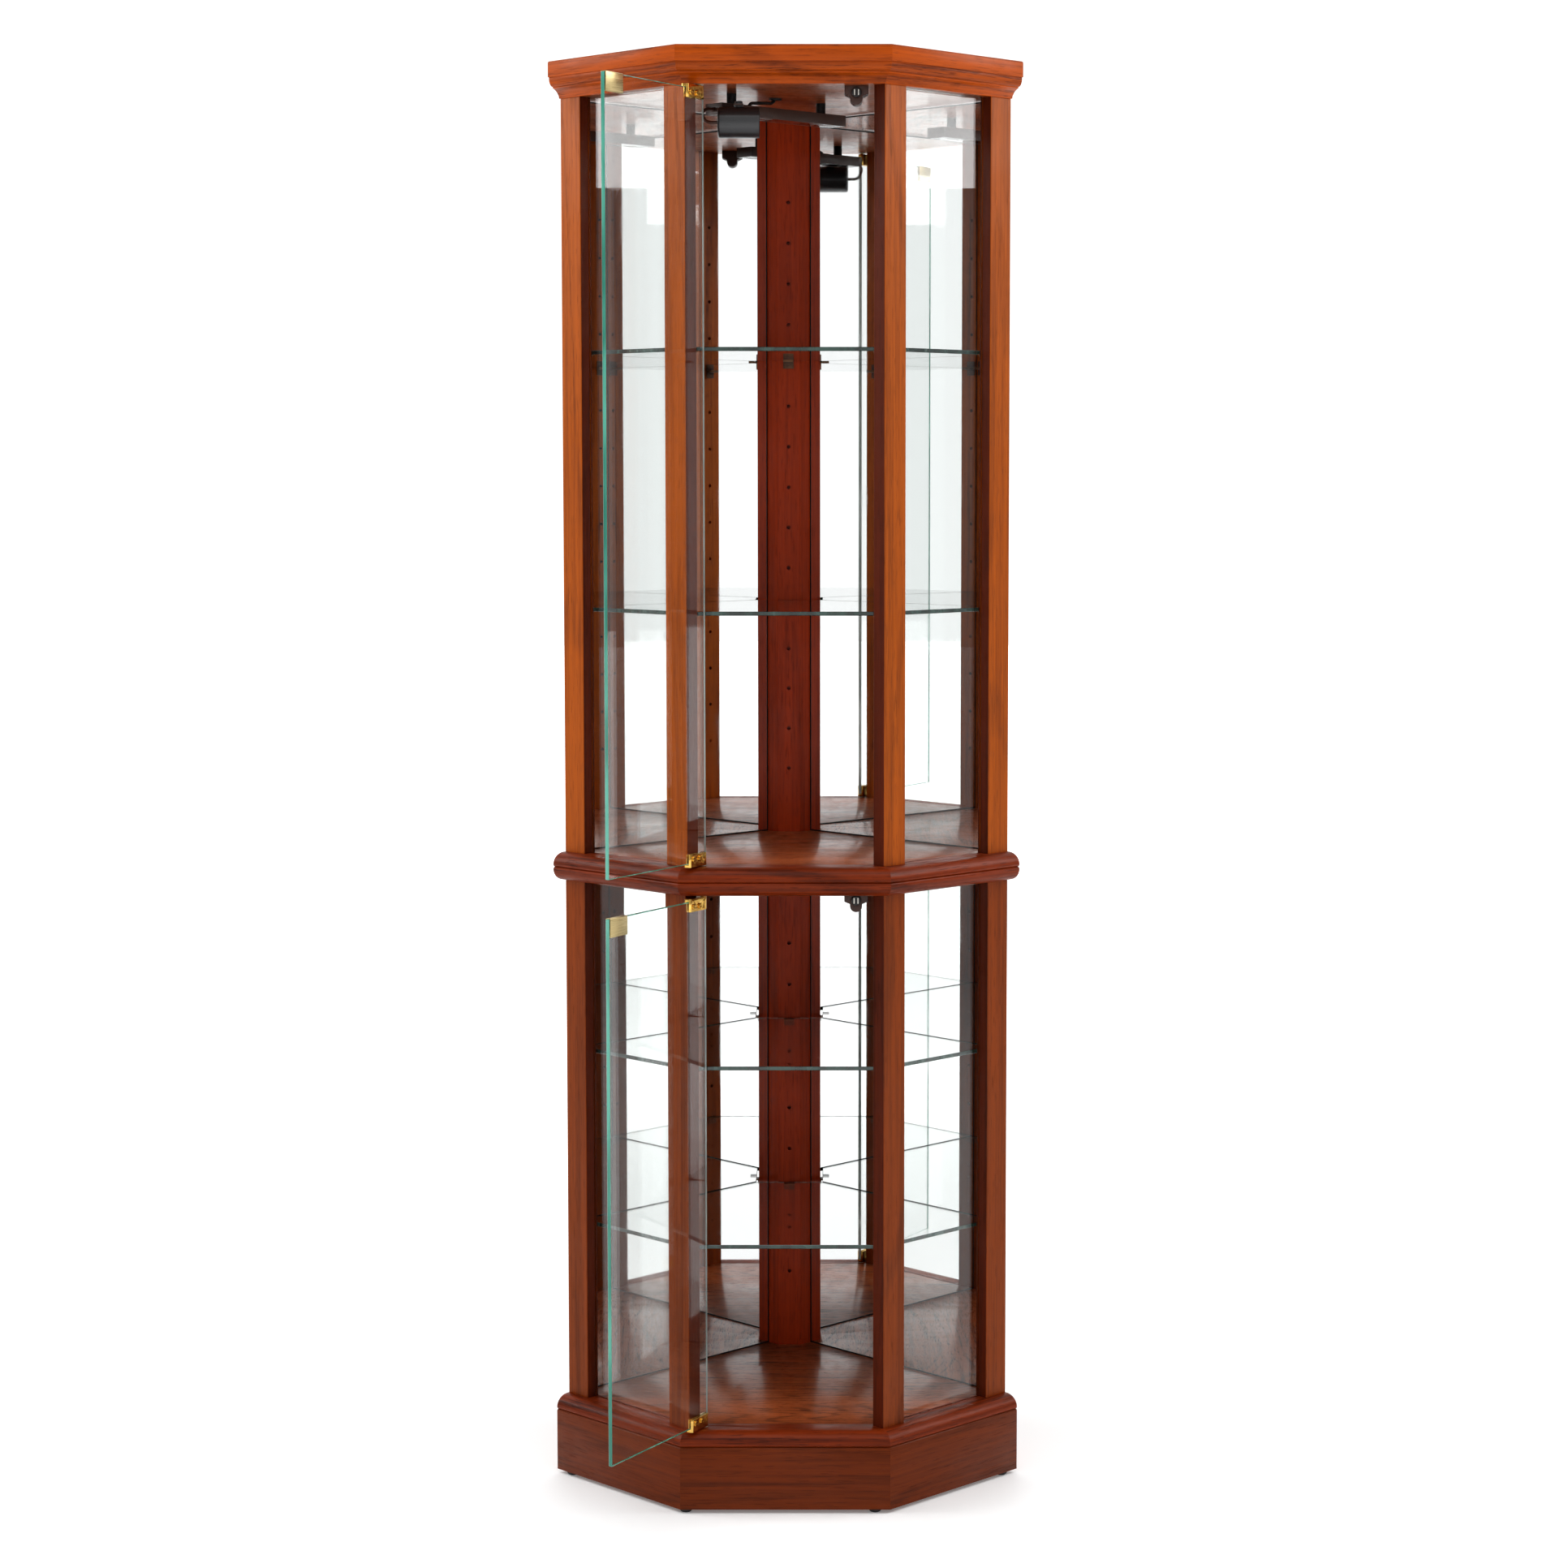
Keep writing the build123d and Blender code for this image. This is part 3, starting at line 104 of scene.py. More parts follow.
camera_data = bpy.data.cameras.new("camera")
camera_data.lens = LENS_LENGTH
camera_data.sensor_width = SENSOR_WIDTH
camera_data.shift_x = SHIFT_ASIDE
camera_data.shift_y = SHIFT_DOWN
camera = bpy.data.objects.new("camera", camera_data)
camera.location = (CAMERA_RIGHT, FRONT - CAMERA_DISTANCE, BASE_BOTTOM + CAMERA_HEIGHT)
camera.rotation_euler = (math.radians(90 - CAMERA_PITCH), 0, 0)
scene.collection.objects.link(camera)
scene.camera = camera
print("camera at", [round(place, 3) for place in camera.location])

# %% [markdown]
# ## Studio
#
# Polished wood, glass and mirrors show the room more than they show themselves. So the room
# is the most important light. It is white behind the case and dim at the sides and in
# front, so that the boards stay deep in colour. The two mirrors meet at a right angle and
# send every view straight back where it came from, so a tall white strip stands behind the
# camera for them to find. Two high soft boxes, one on each side, light the facets, and a
# weak one overhead lifts the tops.

# %% The world
scene.view_settings.view_transform = "Standard"
scene.view_settings.look = "Medium High Contrast"
world = bpy.data.worlds.new("studio")
world.use_nodes = True
scene.world = world
DIM = 0.4
# A direction's X says how far aside it points, and its Y how far behind the case. Each pair
# is where one brightness ends and where the next one is reached.
BEHIND_FROM = (0.35, 0.8)
BACKDROP_EDGE = (0.42, 0.75)
STRIP_EDGE = (0.12, 0.2)


def paint_world(tree):
    """White behind the case, dim elsewhere, with a tall white strip down the middle."""
    direction = tree.nodes.new("ShaderNodeTexCoord").outputs["Generated"]
    parts = tree.nodes.new("ShaderNodeSeparateXYZ")
    tree.links.new(direction, parts.inputs[0])

    def ramp(source, low, high, to_low, to_high):
        node = tree.nodes.new("ShaderNodeMapRange")
        for index, value in enumerate((low, high, to_low, to_high), start=1):
            node.inputs[index].default_value = value
        node.interpolation_type = "SMOOTHSTEP"
        tree.links.new(source, node.inputs[0])
        return node.outputs[0]

    def math_node(operation, first, second=None):
        node = tree.nodes.new("ShaderNodeMath")
        node.operation = operation
        tree.links.new(first, node.inputs[0])
        if second is not None:
            tree.links.new(second, node.inputs[1])
        return node.outputs[0]

    aside = math_node("ABSOLUTE", parts.outputs["X"])
    behind = math_node("MULTIPLY", ramp(parts.outputs["Y"], *BEHIND_FROM, 0.0, 1.0),
                       ramp(aside, *BACKDROP_EDGE, 1.0, 0.0))
    strip = ramp(aside, *STRIP_EDGE, 1.0, 0.0)
    bright = math_node("MAXIMUM", behind, strip)
    strength = ramp(bright, 0.0, 1.0, DIM, 1.0)
    tree.links.new(strength, tree.nodes["Background"].inputs["Strength"])
    tree.nodes["Background"].inputs["Color"].default_value = (1, 1, 1, 1)


paint_world(world.node_tree)
print(len(world.node_tree.nodes), "nodes paint the world")


# %% Soft boxes
def soft_box(name, place, target, width, height, watts):
    """A rectangular area light that faces its target."""
    data = bpy.data.lights.new(name, "AREA")
    data.shape = "RECTANGLE"
    data.size = width
    data.size_y = height
    data.energy = watts
    light = bpy.data.objects.new(name, data)
    light.location = place
    direction = Vector(target) - Vector(place)
    light.rotation_euler = direction.to_track_quat("-Z", "Y").to_euler()
    scene.collection.objects.link(light)


MIDDLE = (0, 0, CABINET_TOP / 2)
BOX_ASIDE, BOX_BACK, BOX_HEIGHT, BOX_SIDE = 3.0, 0.4, 2.7, 1.8
LEFT_WATTS, RIGHT_WATTS, TOP_WATTS = 46, 42, 15
soft_box("box_left", (-BOX_ASIDE, FRONT + BOX_BACK, BOX_HEIGHT), MIDDLE, BOX_SIDE, BOX_SIDE,
         LEFT_WATTS)
soft_box("box_right", (BOX_ASIDE, FRONT + BOX_BACK, BOX_HEIGHT), MIDDLE, BOX_SIDE, BOX_SIDE,
         RIGHT_WATTS)
soft_box("box_top", (0, FRONT - 0.8, 3.6), MIDDLE, 2.5, 2.0, TOP_WATTS)

print(len(bpy.data.lights), "soft boxes")

# %% The floor's mesh
FLOOR_HALF = 20.0
floor_mesh = bpy.data.meshes.new("floor")
corners = [(x * FLOOR_HALF, y * FLOOR_HALF, 0) for x, y in ((-1, -1), (1, -1), (1, 1), (-1, 1))]
floor_mesh.from_pydata(corners, [], [(0, 1, 2, 3)])
floor = bpy.data.objects.new("floor", floor_mesh)
scene.collection.objects.link(floor)

# %% [markdown]
# ## Shader helpers
#
# A material is a small graph. A few helpers keep the graphs readable: the first ones add a
# node and plug in its sockets, and the last makes a material with a single Principled BSDF.
# What several finishes share, such as grain and smudges, becomes a node group.


# %% Helpers for node graphs
def plug(tree, node, sockets):
    """Fills a node's sockets: each takes a number, a colour or another node's output."""
    for key, value in sockets.items():
        if isinstance(value, bpy.types.NodeSocket):
            tree.links.new(value, node.inputs[key])
        else:
            node.inputs[key].default_value = value
    return node


def put(tree, kind, sockets=None, **properties):
    """Adds a shader node, with its properties and its sockets."""
    new = tree.nodes.new(f"ShaderNode{kind}")
    for key, value in properties.items():
        setattr(new, key, value)
    return plug(tree, new, sockets or {})


def calc(tree, operation, first, second=0.0, clamp=False):
    """One arithmetic step."""
    sockets = {0: first, 1: second}
    return put(tree, "Math", sockets, operation=operation, use_clamp=clamp).outputs[0]


def spread(tree, value, low, high, to_low=0.0, to_high=1.0):
    """Stretches a value from one range to another, smoothly, and stops at its ends."""
    sockets = {"Value": value, "From Min": low, "From Max": high,
               "To Min": to_low, "To Max": to_high}
    return put(tree, "MapRange", sockets, interpolation_type="SMOOTHSTEP").outputs[0]


def mix(tree, share, first, second, blend="MIX"):
    """Mixes two colours."""
    new = put(tree, "Mix", {0: share, 6: first, 7: second}, data_type="RGBA", blend_type=blend)
    return new.outputs[2]


def noise(tree, vector, scale, detail=2.0, roughness=0.5, distortion=0.0):
    """Soft random values about one half."""
    sockets = {"Vector": vector, "Scale": scale, "Detail": detail, "Roughness": roughness,
               "Distortion": distortion}
    return put(tree, "TexNoise", sockets).outputs["Fac"]


def stretched(tree, vector, scale):
    """The same coordinates, scaled by three factors."""
    return put(tree, "Mapping", {"Vector": vector, "Scale": scale}).outputs[0]


def new_group(name, inputs, outputs):
    """An empty node group with named sockets: its tree, its input node and its output node."""
    tree = bpy.data.node_groups.new(name, "ShaderNodeTree")
    for label, kind, value in inputs:
        socket = tree.interface.new_socket(label, in_out="INPUT", socket_type=f"NodeSocket{kind}")
        if value is not None:
            socket.default_value = value
    for label, kind in outputs:
        tree.interface.new_socket(label, in_out="OUTPUT", socket_type=f"NodeSocket{kind}")
    return tree, tree.nodes.new("NodeGroupInput"), tree.nodes.new("NodeGroupOutput")


def use_group(tree, group, sockets):
    """Places a node group in a material."""
    return plug(tree, put(tree, "Group", node_tree=group), sockets)


def new_material(name, **sockets):
    """A material with one Principled BSDF: the material, its tree and its shader."""
    material = bpy.data.materials.new(name)
    material.use_nodes = True
    tree = material.node_tree
    shader = tree.nodes["Principled BSDF"]
    for key, value in sockets.items():
        shader.inputs[key.replace("_", " ")].default_value = value
    return material, tree, shader


def object_coordinates(tree):
    """Coordinates that stay with the piece when it moves."""
    return put(tree, "TexCoord").outputs["Object"]


# %% [markdown]
# ### Wood grain
#
# Flat-sawn veneer shows arches where the saw cuts through curved growth rings. Contour
# lines of a noise that is stretched along the trunk look just like that: take the noise,
# multiply it, and take the sine. On top come fine fibres, dark pores and slow changes of
# stain. The group takes coordinates whose Z runs along the grain.


# %% The grain group
# Scales of the noises across, across and along the grain: a small last number makes them long.
TRUNK = (1.0, 1.0, 0.11)
FIBRES = (260.0, 260.0, 5.0)
STREAKS = (45.0, 45.0, 1.2)
PORES = (800.0, 800.0, 40.0)
STREAK_SHARE, FIBRE_SHARE, STAIN_SHARE = 0.5, 0.85, 0.3
PORE_COLOUR = (0.004, 0.001, 0.0005, 1)


def build_grain():
    """The group that colours wood."""
    inputs = [("Vector", "Vector", None), ("Dark", "Color", (0.05, 0.01, 0.004, 1)),
              ("Light", "Color", (0.3, 0.08, 0.02, 1)), ("Rings", "Float", 16.0),
              ("Figure", "Float", 0.5), ("Pores", "Float", 0.5)]
    outputs = [("Color", "Color"), ("Pore Mask", "Float"), ("Height", "Float")]
    tree, source, result = new_group("wood_grain", inputs, outputs)
    vector = source.outputs["Vector"]
    trunk = stretched(tree, vector, TRUNK)
    swell = noise(tree, trunk, 6.0, distortion=0.5)
    turns = calc(tree, "MULTIPLY", source.outputs["Rings"], 2 * math.pi)
    rings = calc(tree, "SINE", calc(tree, "MULTIPLY", swell, turns))
    late_wood = spread(tree, rings, 0.35, 1.0)
    fibre = noise(tree, stretched(tree, vector, FIBRES), 1.0, detail=3.0)
    streak = noise(tree, stretched(tree, vector, STREAKS), 1.0)
    stain = noise(tree, vector, 4.5)
    pore_noise = noise(tree, stretched(tree, vector, PORES), 1.0, detail=1.0)
    pore_field = calc(tree, "ADD", pore_noise, calc(tree, "MULTIPLY", late_wood, 0.06))
    pores = spread(tree, pore_field, 0.60, 0.68)
    figure = calc(tree, "MULTIPLY", late_wood, source.outputs["Figure"])
    lines = calc(tree, "ADD", calc(tree, "MULTIPLY", streak, STREAK_SHARE),
                 calc(tree, "MULTIPLY", fibre, FIBRE_SHARE))
    tone = calc(tree, "ADD", calc(tree, "SUBTRACT", lines, figure),
                calc(tree, "MULTIPLY", stain, STAIN_SHARE))
    share = spread(tree, tone, 0.35, 1.05)
    colour = mix(tree, share, source.outputs["Dark"], source.outputs["Light"])
    pore_share = calc(tree, "MULTIPLY", pores, source.outputs["Pores"])
    colour = mix(tree, pore_share, colour, mix(tree, 0.75, colour, PORE_COLOUR))
    tree.links.new(colour, result.inputs["Color"])
    tree.links.new(pore_share, result.inputs["Pore Mask"])
    tree.links.new(calc(tree, "SUBTRACT", calc(tree, "MULTIPLY", fibre, 0.3), pore_share),
                   result.inputs["Height"])
    return tree


GRAIN = build_grain()
print(len(GRAIN.nodes), "nodes make the grain")

# %% [markdown]
# ### Handling marks
#
# Nothing that people dust and open stays perfectly clean. A broad, faint noise changes the
# roughness of glass and mirror, and a finer one adds the marks of a cloth.


# %% The smudge group
CLOTH = (60.0, 60.0, 14.0)      # the scale of a cloth's marks, longer up and down


def build_smudge():
    """The group that makes a roughness uneven."""
    inputs = [("Vector", "Vector", None), ("Clean", "Float", 0.02), ("Smudged", "Float", 0.08),
              ("Size", "Float", 14.0)]
    tree, source, result = new_group("smudge", inputs, [("Roughness", "Float"), ("Mask", "Float")])
    vector = source.outputs["Vector"]
    broad = noise(tree, vector, source.outputs["Size"], detail=3.0, distortion=0.8)
    wiped = noise(tree, stretched(tree, vector, CLOTH), 1.0)
    mask = spread(tree, calc(tree, "MULTIPLY", broad, wiped), 0.2, 0.42)
    roughness = put(tree, "MapRange", {"Value": mask, "To Min": source.outputs["Clean"],
                                       "To Max": source.outputs["Smudged"]})
    tree.links.new(roughness.outputs[0], result.inputs["Roughness"])
    tree.links.new(mask, result.inputs["Mask"])
    return tree


SMUDGE = build_smudge()
print(len(SMUDGE.nodes), "nodes make the smudges")

# %% [markdown]
# ### Worn edges
#
# Lacquer and plating rub thin where two faces meet. Cycles can tell how sharply a surface
# turns: Geometry's Pointiness is over one half on an outer edge. The group turns it into a
# mask, broken up by noise so that the wear isn't a drawn line.


# %% The edge wear group
def build_edge_wear():
    """The group that finds worn edges."""
    tree, source, result = new_group(
        "edge_wear", [("Vector", "Vector", None), ("Amount", "Float", 0.5)], [("Mask", "Float")])
    turn = put(tree, "NewGeometry").outputs["Pointiness"]
    ragged = calc(tree, "MULTIPLY", noise(tree, source.outputs["Vector"], 90.0, detail=3.0), 0.06)
    edge = spread(tree, calc(tree, "ADD", turn, ragged), 0.54, 0.60)
    tree.links.new(calc(tree, "MULTIPLY", edge, source.outputs["Amount"], True),
                   result.inputs["Mask"])
    return tree


EDGE_WEAR = build_edge_wear()
print(len(EDGE_WEAR.nodes), "nodes find the worn edges")

# %% [markdown]
# ## Wood finishes
#
# The case is stained a red walnut and lacquered. Grain runs up the posts and along every
# rail and moulding, so a mitre shows as a change of direction. One function makes the
# stain; what changes is the heading of the grain and how dark the copy is. The darker
# copies on the base, the lower posts, the corner posts and the doorway faces are painted
# shade: the same stain, darkened where less light reaches.


# %% Stained wood
def srgb(red, green, blue):
    """A colour given on a 0 to 255 scale, as the shader wants it."""
    def linear(value):
        value /= 255
        return value / 12.92 if value <= 0.04045 else ((value + 0.055) / 1.055) ** 2.4
    return (linear(red), linear(green), linear(blue), 1.0)


def along_grain(tree, heading):
    """Object coordinates whose Z runs along the grain: upright, or level at a heading."""
    vector = object_coordinates(tree)
    if heading is None:
        return vector
    level = put(tree, "Mapping", {"Vector": vector, "Rotation": (0, 0, -math.radians(heading))})
    return put(tree, "Mapping", {"Vector": level.outputs[0],
                                 "Rotation": (0, -math.radians(90), 0)}).outputs[0]


def stained_wood(name, heading, dark, light, rings=11.0, figure=0.14, pores=0.6,
                 gloss=(0.36, 0.48), coat=0.08, coat_roughness=0.16, wear=0.3,
                 bold=None):
    """Lacquered wood with its grain at a heading, in degrees from X, or None for upright.

    A bold figure is less drawn out along the grain, as in a rotary-cut veneer.
    """
    material, tree, shader = new_material(name, Coat_Weight=coat, Coat_Roughness=coat_roughness,
                                          Specular_IOR_Level=0.16)
    vector = along_grain(tree, heading)
    if bold:
        vector = stretched(tree, vector, (1, 1, bold))
    grain = use_group(tree, GRAIN, {"Vector": vector, "Dark": dark, "Light": light,
                                    "Rings": rings, "Figure": figure, "Pores": pores})
    edges = use_group(tree, EDGE_WEAR, {"Vector": vector, "Amount": wear})
    worn = mix(tree, edges.outputs["Mask"], grain.outputs["Color"],
               tuple(min(1.0, 1.5 * c) for c in light[:3]) + (1.0,))
    haze = noise(tree, vector, 22.0, detail=3.0)
    roughness = calc(tree, "ADD", spread(tree, haze, 0.3, 0.7, *gloss),
                     calc(tree, "MULTIPLY", grain.outputs["Pore Mask"], 0.2))
    bump = put(tree, "Bump", {"Height": grain.outputs["Height"], "Strength": 0.25,
                              "Distance": 0.0004})
    tree.links.new(worn, shader.inputs["Base Color"])
    tree.links.new(roughness, shader.inputs["Roughness"])
    tree.links.new(bump.outputs[0], shader.inputs["Normal"])
    return material



# %% The stains
# Where the grain of each side heads, in degrees, and the dark and light of each stain.
HEADINGS = {"front": 0, "right": 45, "left": -45}
STAIN_DARK, STAIN_LIGHT = srgb(84, 30, 1), srgb(170, 76, 6)
POST_DARK, POST_LIGHT = srgb(76, 28, 1), srgb(158, 78, 8)
# Painted shade: a darker copy of the stain on the base, standing in for the little light that reaches it.
BASE_DARK, BASE_LIGHT = srgb(50, 17, 1), srgb(108, 44, 3)
BAND_DARK, BAND_LIGHT = srgb(60, 17, 3), srgb(128, 48, 6)
# Painted shade: the lower posts get a darker copy of the upright stain, as the light comes from high up.
LOW_DARK, LOW_LIGHT = srgb(60, 22, 1), srgb(126, 56, 4)
# Painted shade on the faces that look into the doorway and on the corner posts' backs.
SHADE_DARK, SHADE_LIGHT = srgb(40, 10, 1), srgb(84, 28, 3)
# Painted shade: the corner posts stand inside the case, in shadow, so their copy of the stain is darker and
# redder.
CORNER_DARK, CORNER_LIGHT = srgb(84, 20, 1), srgb(156, 52, 3)
VENEER_DARK, VENEER_LIGHT = srgb(76, 34, 14), srgb(166, 88, 48)

WOOD = {side: stained_wood(f"stain_{side}", heading, STAIN_DARK, STAIN_LIGHT)
        for side, heading in HEADINGS.items()}
POST_WOOD = stained_wood("stain_upright", None, POST_DARK, POST_LIGHT, rings=9.0)
BASE_PAINTED_SHADE_WOOD = {side: stained_wood(f"painted_shade_base_{side}", heading, BASE_DARK, BASE_LIGHT)
             for side, heading in HEADINGS.items()}
BAND_WOOD = {side: stained_wood(f"stain_band_{side}", heading, BAND_DARK, BAND_LIGHT)
             for side, heading in HEADINGS.items()}
LOW_POST_PAINTED_SHADE = stained_wood("painted_shade_upright_low", None, LOW_DARK, LOW_LIGHT, rings=9.0)
DOORWAY_PAINTED_SHADE = stained_wood("painted_shade_doorway", None, SHADE_DARK, SHADE_LIGHT, rings=9.0)
CORNER_PAINTED_SHADE_WOOD = stained_wood("painted_shade_corner", None, CORNER_DARK, CORNER_LIGHT, rings=9.0)
VENEER = stained_wood("open_grain_veneer", 0, VENEER_DARK, VENEER_LIGHT, rings=30.0, figure=0.12,
                      pores=0.7, gloss=(0.3, 0.42), coat=0.4, coat_roughness=0.14, wear=0.0,
                      bold=2.4)
RAIL_WOOD = {hand: stained_wood(f"rail_{hand}", heading, STAIN_DARK, STAIN_LIGHT, coat=0.1,
                                gloss=(0.5, 0.6))
             for hand, heading in (("left", 45), ("right", -45))}
BEECH = stained_wood("sawn_beech", None, srgb(150, 105, 66), srgb(202, 160, 112), coat=0.0,
                     gloss=(0.6, 0.75), wear=0.0)
print(len(bpy.data.materials), "finishes so far")

# %% [markdown]
# ## Hardboard
#
# The back is closed with hardboard, which is pressed wood fibre: smooth, mid brown, and
# flecked rather than grained. Two noises at different scales are enough.


# %% Hardboard
def hardboard():
    """Pressed fibre board."""
    material, tree, shader = new_material("hardboard")
    vector = object_coordinates(tree)
    flecks = noise(tree, vector, 900.0, detail=4.0, roughness=0.7)
    clouds = noise(tree, vector, 7.0, detail=3.0)
    share = calc(tree, "ADD", calc(tree, "MULTIPLY", flecks, 0.9),
                 calc(tree, "MULTIPLY", clouds, 0.15))
    colour = mix(tree, spread(tree, share, 0.35, 0.85), srgb(74, 48, 30), srgb(134, 96, 64))
    bump = put(tree, "Bump", {"Height": flecks, "Strength": 0.2, "Distance": 0.0003})
    tree.links.new(colour, shader.inputs["Base Color"])
    tree.links.new(spread(tree, clouds, 0.3, 0.7, 0.55, 0.7), shader.inputs["Roughness"])
    tree.links.new(bump.outputs[0], shader.inputs["Normal"])
    return material


HARDBOARD = hardboard()

# %% [markdown]
# ## Glass and mirror
#
# Float glass is clear through its face and green through its edge, because the light that
# comes out of the edge has travelled far inside it. So each pane has two finishes: one on
# its faces and one on its ground edges, told apart by which way they look. Light that only
# casts a shadow passes straight through, which keeps the case bright and the render clean.


# %% Panes
def clear_glass(name, tint, smudged=0.03):
    """Clear glass that lets the light of the lamps through to whatever stands behind it."""
    material, tree, shader = new_material(name, Transmission_Weight=1.0, IOR=1.45,
                                          Base_Color=tint)
    smudge = use_group(tree, SMUDGE, {"Vector": object_coordinates(tree), "Clean": 0.0,
                                      "Smudged": smudged, "Size": 9.0})
    tree.links.new(smudge.outputs["Roughness"], shader.inputs["Roughness"])
    clear = put(tree, "BsdfTransparent", {"Color": tint})
    shadow = put(tree, "LightPath").outputs["Is Shadow Ray"]
    out = tree.nodes["Material Output"]
    both = put(tree, "MixShader", {0: shadow, 1: shader.outputs[0], 2: clear.outputs[0]})
    tree.links.new(both.outputs[0], out.inputs["Surface"])
    return material


def mirror_glass():
    """The front of a mirror: a metal with a little haze."""
    material, tree, shader = new_material("silvered_mirror", Metallic=1.0,
                                          Base_Color=(0.93, 0.94, 0.94, 1))
    smudge = use_group(tree, SMUDGE, {"Vector": object_coordinates(tree), "Clean": 0.004,
                                      "Smudged": 0.03, "Size": 6.0})
    tree.links.new(smudge.outputs["Roughness"], shader.inputs["Roughness"])
    return material


def ground_edge(name, colour, deep):
    """The polished edge of a pane: a body colour with streaks along the grinding."""
    material, tree, shader = new_material(name, Coat_Weight=0.6, Coat_Roughness=0.08)
    streaks = noise(tree, stretched(tree, object_coordinates(tree), (60, 60, 8)), 1.0)
    tree.links.new(mix(tree, spread(tree, streaks, 0.3, 0.7), deep, colour),
                   shader.inputs["Base Color"])
    tree.links.new(spread(tree, streaks, 0.3, 0.7, 0.15, 0.3), shader.inputs["Roughness"])
    return material


GLASS = clear_glass("clear_glass", (0.985, 0.995, 0.99, 1))
PALE_EDGE = ground_edge("pale_glass_edge", srgb(196, 204, 200), srgb(150, 160, 156))
GREEN_EDGE = ground_edge("green_glass_edge", srgb(96, 178, 158), srgb(40, 122, 104))
DARK_EDGE = ground_edge("shelf_glass_edge", srgb(44, 74, 66), srgb(14, 30, 26))
MIRROR = mirror_glass()

# %% [markdown]
# ## Metals, plastics and flex
#
# The fittings are small, so what the eye reads is how sharp their highlights are: polished
# brass on the hinges, brushed pale brass on the catch plates, satin paint on the lamp. Each
# is a base colour with a little variation, a roughness range, and worn edges.


# %% Fittings
def fitting(name, colour, deep, roughness, metallic=0.0, wear=0.0, worn=(0.5, 0.4, 0.25, 1),
            brushed=None, coat=0.0, speckle=300.0, bump_height=0.00005):
    """A small hard part: two tones, a roughness range, worn edges, and brushing if wanted."""
    material, tree, shader = new_material(name, Metallic=metallic, Coat_Weight=coat)
    vector = object_coordinates(tree)
    if brushed:
        lines = noise(tree, stretched(tree, vector, brushed), 1.0, detail=3.0)
    else:
        lines = noise(tree, vector, speckle, detail=3.0)
    tone = mix(tree, spread(tree, lines, 0.3, 0.7), deep, colour)
    edges = use_group(tree, EDGE_WEAR, {"Vector": vector, "Amount": wear})
    tree.links.new(mix(tree, edges.outputs["Mask"], tone, worn), shader.inputs["Base Color"])
    tree.links.new(spread(tree, lines, 0.25, 0.75, *roughness), shader.inputs["Roughness"])
    bump = put(tree, "Bump", {"Height": lines, "Strength": 0.3, "Distance": bump_height})
    tree.links.new(bump.outputs[0], shader.inputs["Normal"])
    return material


BRASS = fitting("polished_brass", srgb(222, 178, 88), srgb(196, 146, 60), (0.08, 0.2), 1.0,
                wear=0.4, worn=srgb(245, 214, 140), speckle=160.0)
PALE_BRASS = fitting("brushed_pale_brass", srgb(214, 196, 150), srgb(178, 158, 112),
                     (0.25, 0.4), 1.0, brushed=(30, 30, 2400))
BRONZE = fitting("dark_bronze", srgb(74, 50, 38), srgb(48, 30, 22), (0.3, 0.45), 0.6, wear=0.5,
                 worn=srgb(130, 96, 66))
RAIL_PAINT = fitting("bronze_paint", srgb(52, 32, 27), srgb(38, 22, 18), (0.36, 0.46), coat=0.1,
                     wear=0.3, worn=srgb(96, 70, 58))
BROWN_PLASTIC = fitting("brown_plastic", srgb(70, 40, 28), srgb(52, 28, 20), (0.4, 0.55),
                        speckle=1200.0)
BLACK_SATIN = fitting("black_satin", srgb(30, 30, 33), srgb(20, 20, 23), (0.28, 0.36),
                      coat=0.3, wear=0.3, worn=srgb(70, 70, 72), speckle=900.0)
BLACK_PLASTIC = fitting("black_plastic", srgb(36, 35, 35), srgb(24, 24, 24), (0.45, 0.6),
                        speckle=1500.0, bump_height=0.0001)
STEEL = fitting("plated_steel", srgb(196, 192, 184), srgb(160, 156, 150), (0.18, 0.32), 1.0)
BLACKED = fitting("blackened_steel", srgb(44, 42, 42), srgb(26, 25, 25), (0.3, 0.42), 0.7)
NYLON = fitting("white_nylon", srgb(226, 220, 206), srgb(208, 200, 184), (0.4, 0.55))
BLACK_FLEX = fitting("black_flex", srgb(28, 28, 28), srgb(18, 18, 18), (0.35, 0.5), speckle=700.0)
BROWN_FLEX = fitting("brown_flex", srgb(84, 44, 26), srgb(60, 30, 18), (0.35, 0.5), speckle=700.0)
REFLECTOR = fitting("faceted_reflector", srgb(235, 235, 238), srgb(215, 215, 220),
                    (0.05, 0.12), 1.0)
LENS = clear_glass("frosted_lens", (0.93, 0.93, 0.92, 1), smudged=0.5)
LAMP_LENS = clear_glass("lamp_lens", (0.98, 0.98, 0.98, 1))
print(len(bpy.data.materials), "finishes so far")

# %% [markdown]
# ## The floor
#
# The floor is part of the studio. It is pale and almost matt. Far behind the case it
# glows, so that it runs into the white backdrop without a line, and far in front it glows
# for the mirrors. Close to the case it hardly does, so the contact shadow stays.


# %% Floor finish
GLOW_NEAR, GLOW_FAR = 0.15, 0.75
GLOW_START, GLOW_END = 0.7, 2.6     # metres in front of the case's middle or behind it


